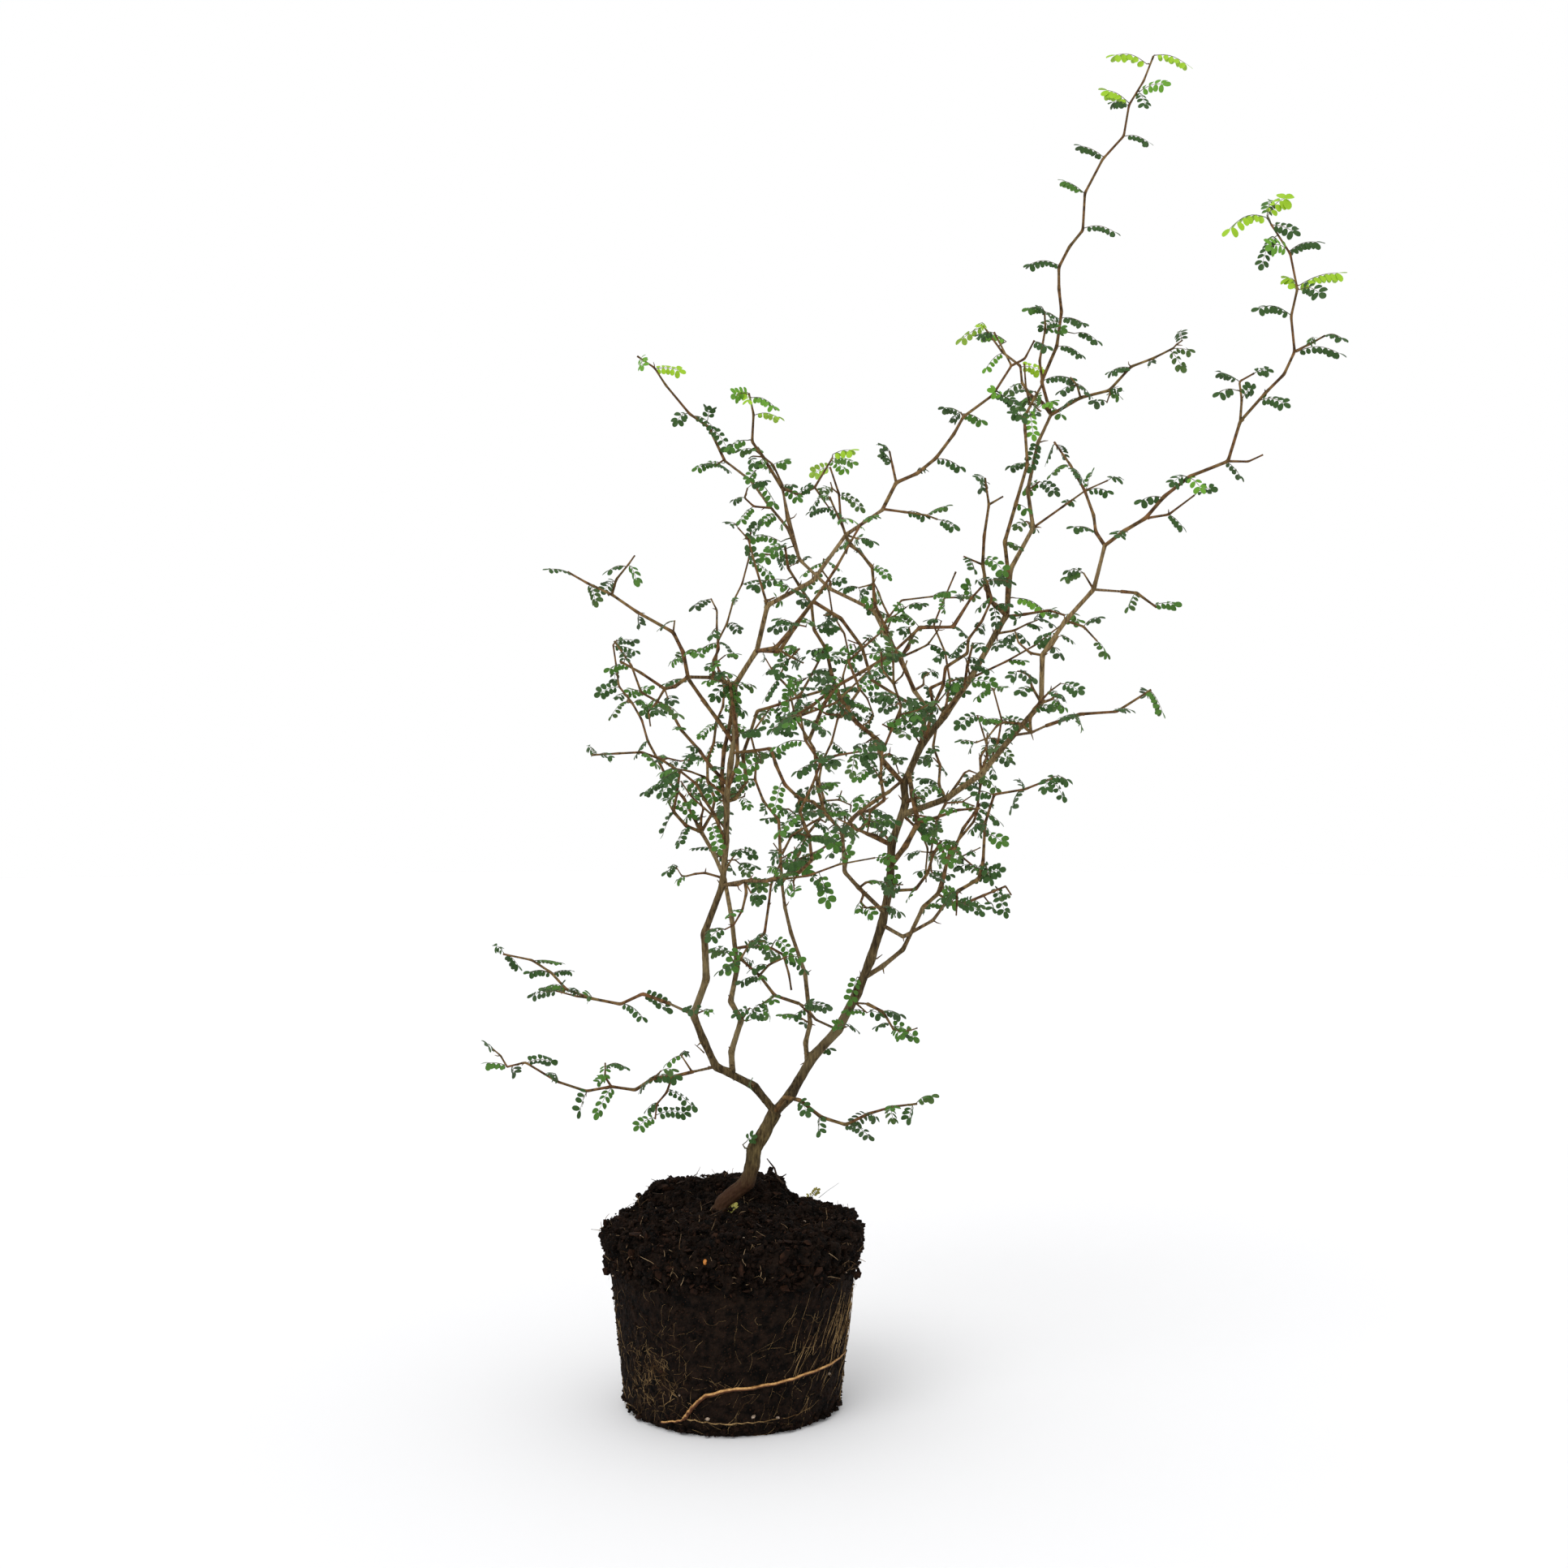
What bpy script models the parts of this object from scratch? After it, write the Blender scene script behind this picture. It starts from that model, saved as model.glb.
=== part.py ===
"""A young shrub lifted out of its pot, standing on its own root ball.

The shrub is a small-leaved, wiry one: every stem turns a little at each leaf joint, so the whole
plant is a net of zigzag lines with one or two feathery leaves at the turns.  The root ball still
has the shape of a tapered pot of about two litres, with a ragged band of loose compost at its rim.

Units are metres.  The origin is the middle of the root ball's flat underside, +Z is up, +X is the
plant's right-hand side and -Y is its front.  Sizes in the tables below are millimetres.
"""

import math
import random

import bmesh
import bpy
from mathutils import Matrix
from mathutils import Vector
import numpy as np

MM = 0.001

# ---- Sizes ------------------------------------------------------------------------------------

# Root ball: a tapered cake of compost, flat underneath, ragged round the rim.
BALL_FOOT_RADIUS = 66.0
BALL_RIM_RADIUS = 77.0
BALL_RIM_HEIGHT = 104.0
BALL_BAND_HEIGHT = 84.0
BALL_FACETS = 36
GROUND_HEIGHT = 117.0
MOUND_HEIGHT = 9.0
MOUND_PLACE = (-24.0, 44.0)

# The thick pale root that winds round the lower front of the ball: bearing from the front in
# degrees (positive to the right) and height.
PALE_ROOT_RADIUS = 1.9
PALE_ROOT_TIP_RADIUS = 1.0
PALE_ROOT_COURSE = ((-37, 5), (-28, 9), (-20, 16), (-13, 24), (-4, 28), (8, 29), (30, 32),
                    (52, 33), (76, 31))

# Trunk: leans out of the ground to the right, then climbs to the fork.
TRUNK_FLARE_RADIUS = 6.6
TRUNK_RADIUS = 4.5
TRUNK_TOP_RADIUS = 3.9
TRUNK_BENDS = ((-8, 0, 117), (-6, 0, 122.5), (0, 0, 127.5), (9, -1, 135), (12, -1, 145),
               (13, 0, 155), (18, 0, 163), (26, 0, 178))

# Boughs: name, what it grows from, radius at its foot and tip, and its bends (right, back, up).
# A bough starts inside its carrier, at the bend or tip nearest to its own first point.
BOUGHS = (
    ("left_bough", "trunk", 2.90, 1.40, ((13, -6, 195), (-10, -14, 208), (-23, -26, 241),
     (-15, -32, 263), (-16, -38, 291), (-5, -44, 320), (-2, -54, 373), (3, -62, 411), (3, -70, 437),
     (16, -76, 457))),
    ("low_left_bough", "left_bough", 1.00, 0.80, ((-10, -14, 207), (-24, -22, 206))),
    ("mid_left_bough", "left_bough", 1.05, 0.80, ((-22, -26, 241), (-38, -26, 248))),
    ("inner_left_bough", "left_bough", 1.65, 1.00, ((0, -10, 204), (-1, 2, 215), (5, 12, 233),
     (-2, 18, 244), (2, 28, 264), (-2, 42, 295), (-7, 56, 319), (-23, 74, 349))),
    ("left_front_bough", "left_bough", 1.00, 0.80, ((-5, -44, 321), (22, -74, 324))),
    ("left_side_bough", "left_bough", 1.05, 0.85, ((2, -70, 436), (-9, -80, 441), (-24, -86, 441))),
    ("crossing_bough", "left_bough", 1.35, 0.90, ((16, -76, 457), (22, -84, 482), (48, -84, 496),
     (67, -78, 523), (89, -70, 539))),
    ("right_bough", "trunk", 3.20, 1.75, ((35, 4, 187), (49, 10, 210), (65, 12, 227), (77, 10, 250),
     (92, 4, 293), (97, 2, 318), (98, 4, 343), (107, 8, 368), (106, 10, 380), (117, 14, 404),
     (132, 16, 423), (148, 16, 446), (164, 18, 474), (171, 18, 486))),
    ("centre_bough", "right_bough", 1.30, 0.90, ((46, 9, 207), (45, 20, 218), (48, 26, 229),
     (45, 40, 259), (36, 54, 284), (30, 70, 316))),
    ("centre_front_bough", "right_bough", 0.90, 0.75, ((62, 11, 226), (51, -10, 236), (40, -24, 248))),
    ("right_side_bough", "right_bough", 1.50, 1.00, ((80, 8, 259), (107, 34, 275), (121, 50, 301),
     (131, 56, 309), (138, 66, 330))),
    ("right_front_bough", "right_bough", 1.10, 0.80, ((90, 4, 290), (104, -14, 287), (121, -28, 298),
     (128, -36, 309))),
    ("low_shoot_bough", "right_bough", 0.80, 0.70, ((76, 10, 244), (83, -4, 245))),
    ("inner_front_bough", "right_bough", 1.25, 0.90, ((93, 3, 301), (77, -18, 317), (68, -28, 327),
     (66, -44, 352))),
    ("inner_back_bough", "right_bough", 1.20, 0.80, ((106, 10, 380), (93, 34, 397), (89, 46, 410),
     (72, 62, 425))),
    ("right_leader", "right_bough", 2.10, 1.20, ((105, 7, 361), (130, -16, 371), (150, -28, 386),
     (168, -38, 409), (184, -44, 428), (184, -48, 456), (197, -52, 476), (213, -56, 494),
     (219, -60, 520))),
    ("right_arm", "right_leader", 0.95, 0.75, ((167, -38, 408), (176, -58, 410), (184, -68, 414))),
    ("right_upper_arm", "right_leader", 0.90, 0.75, ((213, -56, 494), (232, -44, 494))),
    ("high_left_bough", "right_bough", 1.60, 0.90, ((117, 14, 404), (122, 38, 429), (115, 48, 440),
     (107, 60, 462), (90, 72, 494), (62, 84, 509), (42, 92, 529), (34, 98, 551), (9, 104, 584),
     (-9, 106, 598))),
    ("high_middle_bough", "high_left_bough", 1.00, 0.80, ((42, 92, 529), (35, 70, 553), (30, 62, 573))),
    ("high_back_bough", "high_left_bough", 1.00, 0.80, ((90, 72, 494), (91, 92, 513), (90, 100, 526))),
    ("top_bough", "right_bough", 1.70, 1.05, ((171, 18, 486), (174, 24, 515), (189, 30, 542),
     (186, 34, 566), (193, 38, 597), (202, 40, 616))),
)

# Foliage masses: name, the bough whose tip carries it, its reach round its own stem, how twiggy it
# is (side twigs for each leaf joint), how leafy its joints are, and its stem's bends.
SPRAYS = (
    ("low_left_spray", "low_left_bough", 32, 0.26, 0.13, ((-47, -34, 204), (-57, -40, 198),
     (-85, -50, 199), (-102, -52, 205), (-121, -50, 216), (-132, -48, 213))),
    ("mid_left_spray", "mid_left_bough", 34, 0.34, 0.14, ((-54, -20, 253), (-68, -14, 246),
     (-103, 4, 253), (-126, 16, 270), (-145, 24, 273))),
    ("low_right_spray", "trunk", 28, 0.17, 0.11, ((32, -12, 189), (41, -16, 188), (54, -18, 178),
     (69, -16, 173), (83, -12, 179), (113, -6, 184))),
    ("left_outer_spray", "inner_left_bough", 34, 0.30, 0.09, ((-35, 86, 371), (-52, 96, 395),
     (-64, 104, 423), (-80, 110, 446), (-84, 112, 474))),
    ("left_low_spray", "inner_left_bough", 34, 0.34, 0.11, ((-40, 58, 362), (-35, 40, 388),
     (-58, 24, 400), (-88, 10, 398))),
    ("left_back_spray", "inner_left_bough", 38, 0.30, 0.08, ((-15, 106, 370), (-21, 130, 397),
     (-11, 150, 434), (-15, 160, 480), (2, 165, 521), (8, 168, 560))),
    ("front_left_spray", "left_front_bough", 38, 0.34, 0.09, ((31, -90, 328), (47, -118, 338),
     (40, -140, 365), (51, -155, 391), (40, -162, 417))),
    ("left_high_spray", "left_side_bough", 34, 0.13, 0.07, ((-26, -84, 455), (-32, -80, 467),
     (-53, -74, 479), (-83, -62, 497), (-95, -58, 504))),
    ("left_side_spray", "left_side_bough", 30, 0.51, 0.11, ((-35, -110, 433), (-47, -124, 441),
     (-58, -130, 447))),
    ("left_centre_spray", "left_bough", 34, 0.34, 0.09, ((27, -96, 457), (38, -110, 469),
     (51, -122, 485), (60, -132, 498), (72, -136, 519))),
    ("crossing_spray", "crossing_bough", 30, 0.34, 0.08, ((97, -60, 556), (121, -50, 572),
     (132, -46, 587), (138, -42, 598), (156, -36, 612), (168, -30, 631), (158, -26, 652))),
    ("centre_high_spray", "centre_bough", 38, 0.38, 0.09, ((29, 84, 335), (28, 92, 356),
     (12, 104, 383), (9, 112, 413), (23, 118, 433))),
    ("centre_back_spray", "centre_bough", 38, 0.30, 0.08, ((42, 100, 334), (56, 130, 356),
     (58, 150, 395), (76, 160, 440), (74, 165, 486), (54, 170, 530))),
    ("low_centre_spray", "centre_front_bough", 34, 0.51, 0.11, ((26, -38, 254), (17, -48, 267),
     (6, -52, 277), (12, -60, 288))),
    ("right_high_spray", "right_side_bough", 38, 0.34, 0.09, ((143, 72, 337), (159, 84, 363),
     (168, 92, 394), (177, 98, 423), (172, 104, 444))),
    ("right_back_spray", "right_side_bough", 38, 0.30, 0.08, ((131, 96, 343), (142, 124, 367),
     (135, 146, 406), (148, 160, 452), (137, 166, 492), (153, 170, 530))),
    ("right_low_spray", "right_front_bough", 30, 0.26, 0.09, ((146, -52, 324), (148, -58, 335),
     (148, -68, 357), (152, -80, 374), (168, -92, 377), (182, -100, 383))),
    ("right_front_spray", "right_front_bough", 28, 0.42, 0.11, ((138, -24, 307), (153, -12, 312),
     (168, 0, 317))),
    ("inner_high_spray", "inner_front_bough", 36, 0.34, 0.09, ((55, -56, 364), (51, -64, 378),
     (49, -74, 400), (38, -84, 418), (34, -92, 435))),
    ("inner_front_spray", "inner_front_bough", 38, 0.34, 0.09, ((75, -74, 364), (88, -100, 371),
     (85, -124, 396), (95, -140, 422), (90, -150, 446))),
    ("inner_left_spray", "inner_back_bough", 36, 0.34, 0.09, ((60, 70, 442), (41, 84, 437),
     (28, 96, 451), (42, 104, 471))),
    ("inner_back_spray", "inner_back_bough", 36, 0.34, 0.09, ((82, 92, 443), (75, 112, 463),
     (97, 124, 483), (112, 130, 506), (134, 134, 509))),
    ("low_shoot_spray", "low_shoot_bough", 24, 0.26, 0.11, ((92, -12, 241), (98, -18, 231))),
    ("right_arm_spray", "right_arm", 30, 0.17, 0.07, ((201, -82, 420), (220, -92, 421), (238, -100, 433))),
    ("right_edge_spray", "right_upper_arm", 26, 0.17, 0.14, ((242, -36, 494), (255, -30, 486))),
    ("right_leader_spray", "right_leader", 34, 0.17, 0.05, ((241, -68, 534), (251, -72, 546),
     (265, -76, 557), (286, -80, 565), (292, -84, 587), (306, -86, 603), (322, -88, 626),
     (320, -88, 646), (323, -90, 661), (319, -90, 681), (308, -90, 698))),
    ("right_inner_spray", "right_leader", 30, 0.26, 0.07, ((215, -44, 539), (211, -36, 555),
     (204, -26, 572), (196, -14, 588))),
    ("high_left_spray", "high_left_bough", 28, 0.09, 0.09, ((-19, 106, 620), (-32, 106, 629),
     (-48, 104, 648), (-67, 102, 667))),
    ("high_middle_spray", "high_middle_bough", 30, 0.42, 0.11, ((18, 54, 591), (11, 50, 600),
     (12, 46, 617), (9, 44, 630))),
    ("high_inner_spray", "high_middle_bough", 28, 0.34, 0.13, ((42, 84, 571), (52, 96, 578),
     (64, 104, 599))),
    ("high_back_spray", "high_back_bough", 32, 0.42, 0.13, ((75, 112, 542), (70, 118, 560),
     (69, 124, 578), (63, 128, 597))),
    ("right_middle_spray", "right_bough", 32, 0.42, 0.11, ((157, -6, 493), (152, -18, 513),
     (152, -26, 529), (154, -34, 547), (151, -40, 562))),
    ("top_spray", "top_bough", 26, 0.00, 0.04, ((196, 42, 637), (206, 44, 660), (209, 44, 682),
     (207, 42, 710), (222, 40, 733), (223, 38, 756), (234, 36, 777), (247, 34, 791), (250, 32, 810),
     (265, 30, 840))),
    ("top_left_spray", "top_bough", 28, 0.42, 0.13, ((192, 62, 632), (187, 78, 655), (176, 86, 666),
     (164, 92, 685))),
    ("top_right_spray", "top_bough", 26, 0.17, 0.09, ((218, 24, 623), (234, 12, 625), (246, 4, 638),
     (270, -6, 647))),
)

BOUGH_SIDES = 6
BOUGH_PACE = 24.0
BOUGH_SWAY = 1.3
STEM_PACE = 17.0
STEM_SWAY = 2.6
STEM_RADIUS = 0.80
STEM_TIP_RADIUS = 0.55
STEM_TUCK = 0.8
TWIG_RADIUS = 0.62
TWIG_STEPS = (1, 3)
TWIG_STEP_LENGTH = (9.0, 13.0)
TWIG_TURN = (24.0, 42.0)
LEAF_LENGTH = (16.0, 24.0)
LEAF_WIDTH = 0.36
LEAF_DEPTH = 1.5
LEAF_FOOT = 0.26
LEAF_SPREAD = 3.3
LEAF_ROOM = 4.6
TWIG_ROOM = 3.0
GAP = 0.3
CLEARANCE = 0.55
SOLVERS = ("MANIFOLD", "EXACT")


# ---- The growing rule -------------------------------------------------------------------------


def vec(point):
    """A table's point as a vector, still in millimetres."""
    return Vector((float(point[0]), float(point[1]), float(point[2])))


def square_to(line, rng):
    """A unit direction square to a line, at a bearing the seed chooses."""
    guide = Vector((0.0, 0.0, 1.0))
    if abs(line.normalized().z) > 0.9:
        guide = Vector((1.0, 0.0, 0.0))
    first = line.cross(guide).normalized()
    return Matrix.Rotation(rng.uniform(0.0, math.tau), 3, line.normalized()) @ first


def zigzag(bends, pace, sway, rng):
    """Carry a limb through its bends with a small turn every pace millimetres."""
    path = [bends[0].copy()]
    side = 1.0
    for near, far in zip(bends, bends[1:]):
        leg = far - near
        steps = max(1, int(leg.length / pace + 0.5))
        across = square_to(leg, rng)
        for step in range(1, steps):
            drift = sway * side * rng.uniform(0.7, 1.2)
            path.append(near + leg * (step / steps) + across * drift)
            side = -side
        path.append(far.copy())
    return path


class Space:
    """Every limb, twig and leaf placed so far, as short thick lines."""

    def __init__(self):
        self.starts = []
        self.ends = []
        self.radii = []
        self.owners = []
        self.arrays = None

    def add(self, start, end, radius, owner):
        self.starts.append(start[:])
        self.ends.append(end[:])
        self.radii.append(radius)
        self.owners.append(owner)
        self.arrays = None

    def refresh(self):
        if self.arrays is None:
            starts = np.array(self.starts, dtype=float)
            ends = np.array(self.ends, dtype=float)
            radii = np.array(self.radii, dtype=float)
            owners = np.array(self.owners)
            self.arrays = (starts, ends, radii, owners)
        return self.arrays

    def room(self, start, end, radius, owner):
        """Least gap from a thick line to every other node."""
        starts, ends, radii, owners = self.refresh()
        distance = line_gaps(np.array(start[:]), np.array(end[:]), starts, ends) - radii - radius
        return distance[owners != owner].min()

    def crowding(self, start, end, owner, by_leaves):
        """Least distance from a line to its own node's leaves, or to its own wood."""
        starts, ends, radii, owners = self.refresh()
        mine = (owners == owner) & ((radii > 2.0) == by_leaves)
        if not mine.any():
            return 1000.0
        return line_gaps(np.array(start[:]), np.array(end[:]), starts[mine], ends[mine]).min()


def line_gaps(start, end, starts, ends):
    """Shortest distance from one line to each of many others."""
    d1 = end - start
    d2 = ends - starts
    r = start - starts
    a = max(float(d1 @ d1), 1e-9)
    e = np.maximum((d2 * d2).sum(axis=1), 1e-9)
    f = (d2 * r).sum(axis=1)
    c = r @ d1
    b = d2 @ d1
    denom = a * e - b * b
    s = np.where(denom > 1e-9, (b * f - c * e) / np.maximum(denom, 1e-9), 0.0)
    s = np.clip(s, 0.0, 1.0)
    t = np.clip((b * s + f) / e, 0.0, 1.0)
    s = np.clip((b * t - c) / a, 0.0, 1.0)
    apart = (start + s[:, None] * d1) - (starts + t[:, None] * d2)
    return np.sqrt((apart * apart).sum(axis=1))


def within_reach(point, stem, reach):
    """Whether a point lies in a mass's own space, the stretch of air round its stem."""
    starts = np.array([p[:] for p in stem[:-1]])
    ends = np.array([p[:] for p in stem[1:]])
    here = np.array(point[:])
    return line_gaps(here, here + 1e-6, starts, ends).min() <= reach


def grow_limbs():
    """Paths and radii of the trunk, the boughs and every mass's own stem."""
    limbs = {}
    trunk = [vec(p) for p in TRUNK_BENDS]
    limbs["trunk"] = (trunk, TRUNK_RADIUS, TRUNK_TOP_RADIUS)
    for name, carrier, foot, tip, bends in BOUGHS:
        rng = random.Random(name)
        first = vec(bends[0])
        path = limbs[carrier][0]
        start = min(path, key=lambda p: (p - first).length)
        if (start - first).length < 4.0:
            course = [start] + [vec(p) for p in bends[1:]]
        else:
            course = [start] + [vec(p) for p in bends]
        limbs[name] = (zigzag(course, BOUGH_PACE, BOUGH_SWAY, rng), foot, tip)
    stems = {}
    for name, bough, reach, twiggy, leafy, bends in SPRAYS:
        rng = random.Random(name)
        tip = limbs[bough][0][-1]
        tuck = (tip - limbs[bough][0][-2]).normalized() * STEM_TUCK
        course = [tip - tuck] + [vec(p) for p in bends]
        stems[name] = zigzag(course, STEM_PACE, STEM_SWAY, rng)
    return limbs, stems


def try_leaf(space, name, stem, reach, root, out, scale, rng):
    """Find a free place for one leaf at a joint; give it back, or nothing."""
    for attempt in range(5):
        swing = math.radians(rng.uniform(-65.0, 65.0) * (0.5 + 0.25 * attempt))
        spin = Matrix.Rotation(swing, 3, "Z")
        along = spin @ Vector((out.x, out.y, 0.0))
        if along.length < 0.2:
            along = Vector((math.cos(swing), math.sin(swing), 0.0))
        along = along.normalized()
        along.z = rng.uniform(-0.55, 0.45)
        along = along.normalized()
        length = rng.uniform(*LEAF_LENGTH) * scale
        roll = math.radians(rng.uniform(-50.0, 50.0))
        tint = rng.random()
        end = root + along * length
        if not within_reach(end, stem, reach):
            continue
        near = root + along * (length * 0.16)
        if space.room(near, end, LEAF_SPREAD, name) < CLEARANCE:
            continue
        middle = root + along * (length * 0.38)
        if space.crowding(middle, end, name, True) < LEAF_ROOM:
            continue
        if space.crowding(middle, end, name, False) < TWIG_ROOM:
            continue
        up = Vector((0.0, 0.0, 1.0))
        face = (up - along * up.dot(along)).normalized()
        face = Matrix.Rotation(roll, 3, along) @ face
        space.add(near, end, LEAF_SPREAD, name)
        return (root.copy(), along, face, length, tint)
    return None


def grow_spray(space, name, stem, reach, twiggy, leafy, rng):
    """Side twigs and leaves of one mass, by one rule: something at every turn of the stem."""
    twigs = []
    leaves = []
    joints = []
    side = 1.0
    for index in range(1, len(stem)):
        here = stem[index]
        back = (here - stem[index - 1]).normalized()
        last = index == len(stem) - 1
        ahead = back if last else (stem[index + 1] - here).normalized()
        out = (back - ahead)
        if out.length < 0.12:
            out = square_to(back, rng)
        out = out.normalized()
        joints.append((here, back, ahead, out, last, 1.0))
        if rng.random() < twiggy and not last:
            heading = Matrix.Rotation(math.radians(rng.uniform(-60.0, 60.0)), 3, ahead) @ out
            heading = (heading + ahead * rng.uniform(0.15, 0.7)).normalized()
            path = [here.copy()]
            turn_axis = square_to(heading, rng)
            for step in range(rng.randint(*TWIG_STEPS)):
                stride = rng.uniform(*TWIG_STEP_LENGTH)
                point = path[-1] + heading * stride
                if not within_reach(point, stem, reach - 6.0):
                    break
                start = path[-1] + heading * (2.5 if step == 0 else 0.0)
                if space.room(start, point, TWIG_RADIUS + 1.2, name) < CLEARANCE:
                    break
                lead = path[-1] + heading * (stride * 0.5)
                if space.crowding(lead, point, name, True) < LEAF_ROOM:
                    break
                if space.crowding(lead, point, name, False) < TWIG_ROOM:
                    break
                path.append(point)
                bend = math.radians(rng.uniform(*TWIG_TURN)) * side
                side = -side
                heading = (Matrix.Rotation(bend, 3, turn_axis) @ heading).normalized()
            if len(path) > 1:
                twigs.append(path)
                for near, far in zip(path, path[1:]):
                    space.add(near, far, TWIG_RADIUS, name)
                for step in range(1, len(path)):
                    spot = path[step]
                    inward = (spot - path[step - 1]).normalized()
                    final = step == len(path) - 1
                    onward = inward if final else (path[step + 1] - spot).normalized()
                    aside = inward - onward
                    if aside.length < 0.12:
                        aside = square_to(inward, rng)
                    joints.append((spot, inward, onward, aside.normalized(), final, 0.92))
    for here, back, ahead, out, last, scale in joints:
        count = 1
        if rng.random() < leafy:
            count += 1
        if last:
            count += 1
        for number in range(count):
            aim = out if number != 1 else -out
            if last and number == 0:
                aim = ahead
            root = here - back * (0.9 + 1.5 * number)
            leaf = try_leaf(space, name, stem, reach, root, aim, scale, rng)
            if leaf is not None:
                leaves.append(leaf)
    return twigs, leaves


def grow_plant():
    """The whole plant: limb paths, and each mass's stem, twigs and leaves."""
    limbs, stems = grow_limbs()
    space = Space()
    for name, (path, foot, tip) in limbs.items():
        count = len(path) - 1
        for index in range(count):
            radius = foot + (tip - foot) * (index / count)
            space.add(path[index], path[index + 1], radius, name)
    for name, stem in stems.items():
        for near, far in zip(stem, stem[1:]):
            space.add(near, far, STEM_RADIUS, name)
    masses = {}
    for name, bough, reach, twiggy, leafy, bends in SPRAYS:
        rng = random.Random("leaves of " + name)
        twigs, leaves = grow_spray(space, name, stems[name], reach, twiggy, leafy, rng)
        masses[name] = (stems[name], twigs, leaves)
    return limbs, masses, space


# ---- Solids -----------------------------------------------------------------------------------

BARK = (0.20, 0.125, 0.075)
LEAF = (0.055, 0.16, 0.045)
COMPOST = (0.030, 0.018, 0.012)
PALE = (0.52, 0.33, 0.15)


def clear_scene():
    """Start from nothing."""
    for old in list(bpy.data.objects):
        bpy.data.objects.remove(old, do_unlink=True)


def finish_of(name, colour, roughness):
    """One plain finish for one node."""
    finish = bpy.data.materials.new(name + "_finish")
    finish.use_nodes = True
    shader = finish.node_tree.nodes["Principled BSDF"]
    shader.inputs["Base Color"].default_value = (colour[0], colour[1], colour[2], 1.0)
    shader.inputs["Roughness"].default_value = roughness
    return finish


def solid(name, points, faces):
    """An object from points in millimetres, all faces made triangles and turned outwards."""
    mesh = bpy.data.meshes.new(name)
    work = bmesh.new()
    verts = [work.verts.new(p * MM) for p in points]
    for face in faces:
        work.faces.new([verts[i] for i in face])
    bmesh.ops.triangulate(work, faces=work.faces[:])
    bmesh.ops.recalc_face_normals(work, faces=work.faces[:])
    if work.calc_volume(signed=True) < 0.0:
        bmesh.ops.reverse_faces(work, faces=work.faces[:])
    work.to_mesh(mesh)
    work.free()
    made = bpy.data.objects.new(name, mesh)
    bpy.context.scene.collection.objects.link(made)
    return made


def along_shares(path):
    """How far along its length each point of a path lies, from 0 to 1."""
    lengths = [0.0]
    for near, far in zip(path, path[1:]):
        lengths.append(lengths[-1] + (far - near).length)
    return [length / lengths[-1] for length in lengths]


def tube(name, path, radii, sides, first=None, extra=0.0):
    """A closed limb with flat ends; extra swells it evenly, ends too."""
    swell = extra / math.cos(math.pi / sides)
    points = []
    faces = []
    count = len(path)
    heading = (path[1] - path[0]).normalized()
    guide = Vector((0.0, 1.0, 0.0))
    if abs(heading.dot(guide)) > 0.9:
        guide = Vector((1.0, 0.0, 0.0))
    side = heading.cross(guide).normalized()
    for index, point in enumerate(path):
        inward = heading if index == 0 else (point - path[index - 1]).normalized()
        onward = inward if index == count - 1 else (path[index + 1] - point).normalized()
        facing = (inward + onward).normalized()
        if index == 0 and first is not None:
            facing = first
        side = (side - facing * side.dot(facing)).normalized()
        other = facing.cross(side)
        centre = point.copy()
        if index == 0:
            centre = centre - facing * extra
        if index == count - 1:
            centre = centre + facing * extra
        for step in range(sides):
            turn = math.tau * step / sides
            spoke = side * math.cos(turn) + other * math.sin(turn)
            points.append(centre + spoke * (radii[index] + swell))
    for index in range(count - 1):
        low = index * sides
        for step in range(sides):
            after = (step + 1) % sides
            faces.append((low + step, low + after, low + sides + after, low + sides + step))
    faces.append(tuple(range(sides - 1, -1, -1)))
    faces.append(tuple(range((count - 1) * sides, count * sides)))
    return solid(name, points, faces)


def limb_radii(name, path, foot, tip):
    """A bough's even taper; the trunk has its root flare as well."""
    shares = along_shares(path)
    radii = [foot + (tip - foot) * share for share in shares]
    if name == "trunk":
        for index, share in enumerate(shares):
            radii[index] += (TRUNK_FLARE_RADIUS - TRUNK_RADIUS) * max(0.0, 1.0 - share / 0.22) ** 1.5
    return radii


def leaf_blade(name, leaf):
    """One feathery leaf as a folded blade, its foot sunk into the twig."""
    root, along, face, length, tint = leaf
    side = along.cross(face).normalized()
    width = length * LEAF_WIDTH
    middle = root + along * (length * 0.52)
    points = [
        root + side * LEAF_FOOT - face * (LEAF_FOOT * 0.6),
        root - side * LEAF_FOOT - face * (LEAF_FOOT * 0.6),
        root + face * LEAF_FOOT,
        middle + side * (width * 0.5) - face * (LEAF_DEPTH * 0.5),
        middle - side * (width * 0.5) - face * (LEAF_DEPTH * 0.5),
        middle + face * (LEAF_DEPTH * 0.5),
        root + along * length,
    ]
    faces = [
        (0, 1, 2),
        (0, 1, 4, 3),
        (1, 2, 5, 4),
        (2, 0, 3, 5),
        (3, 4, 6),
        (4, 5, 6),
        (5, 3, 6),
    ]
    return solid(name, points, faces)


def closed_volume(mesh):
    """Volume of a mesh, or nothing if any edge isn't shared by exactly two faces."""
    work = bmesh.new()
    work.from_mesh(mesh)
    whole = all(len(edge.link_faces) == 2 for edge in work.edges)
    volume = work.calc_volume(signed=True)
    work.free()
    return volume if whole else None


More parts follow.
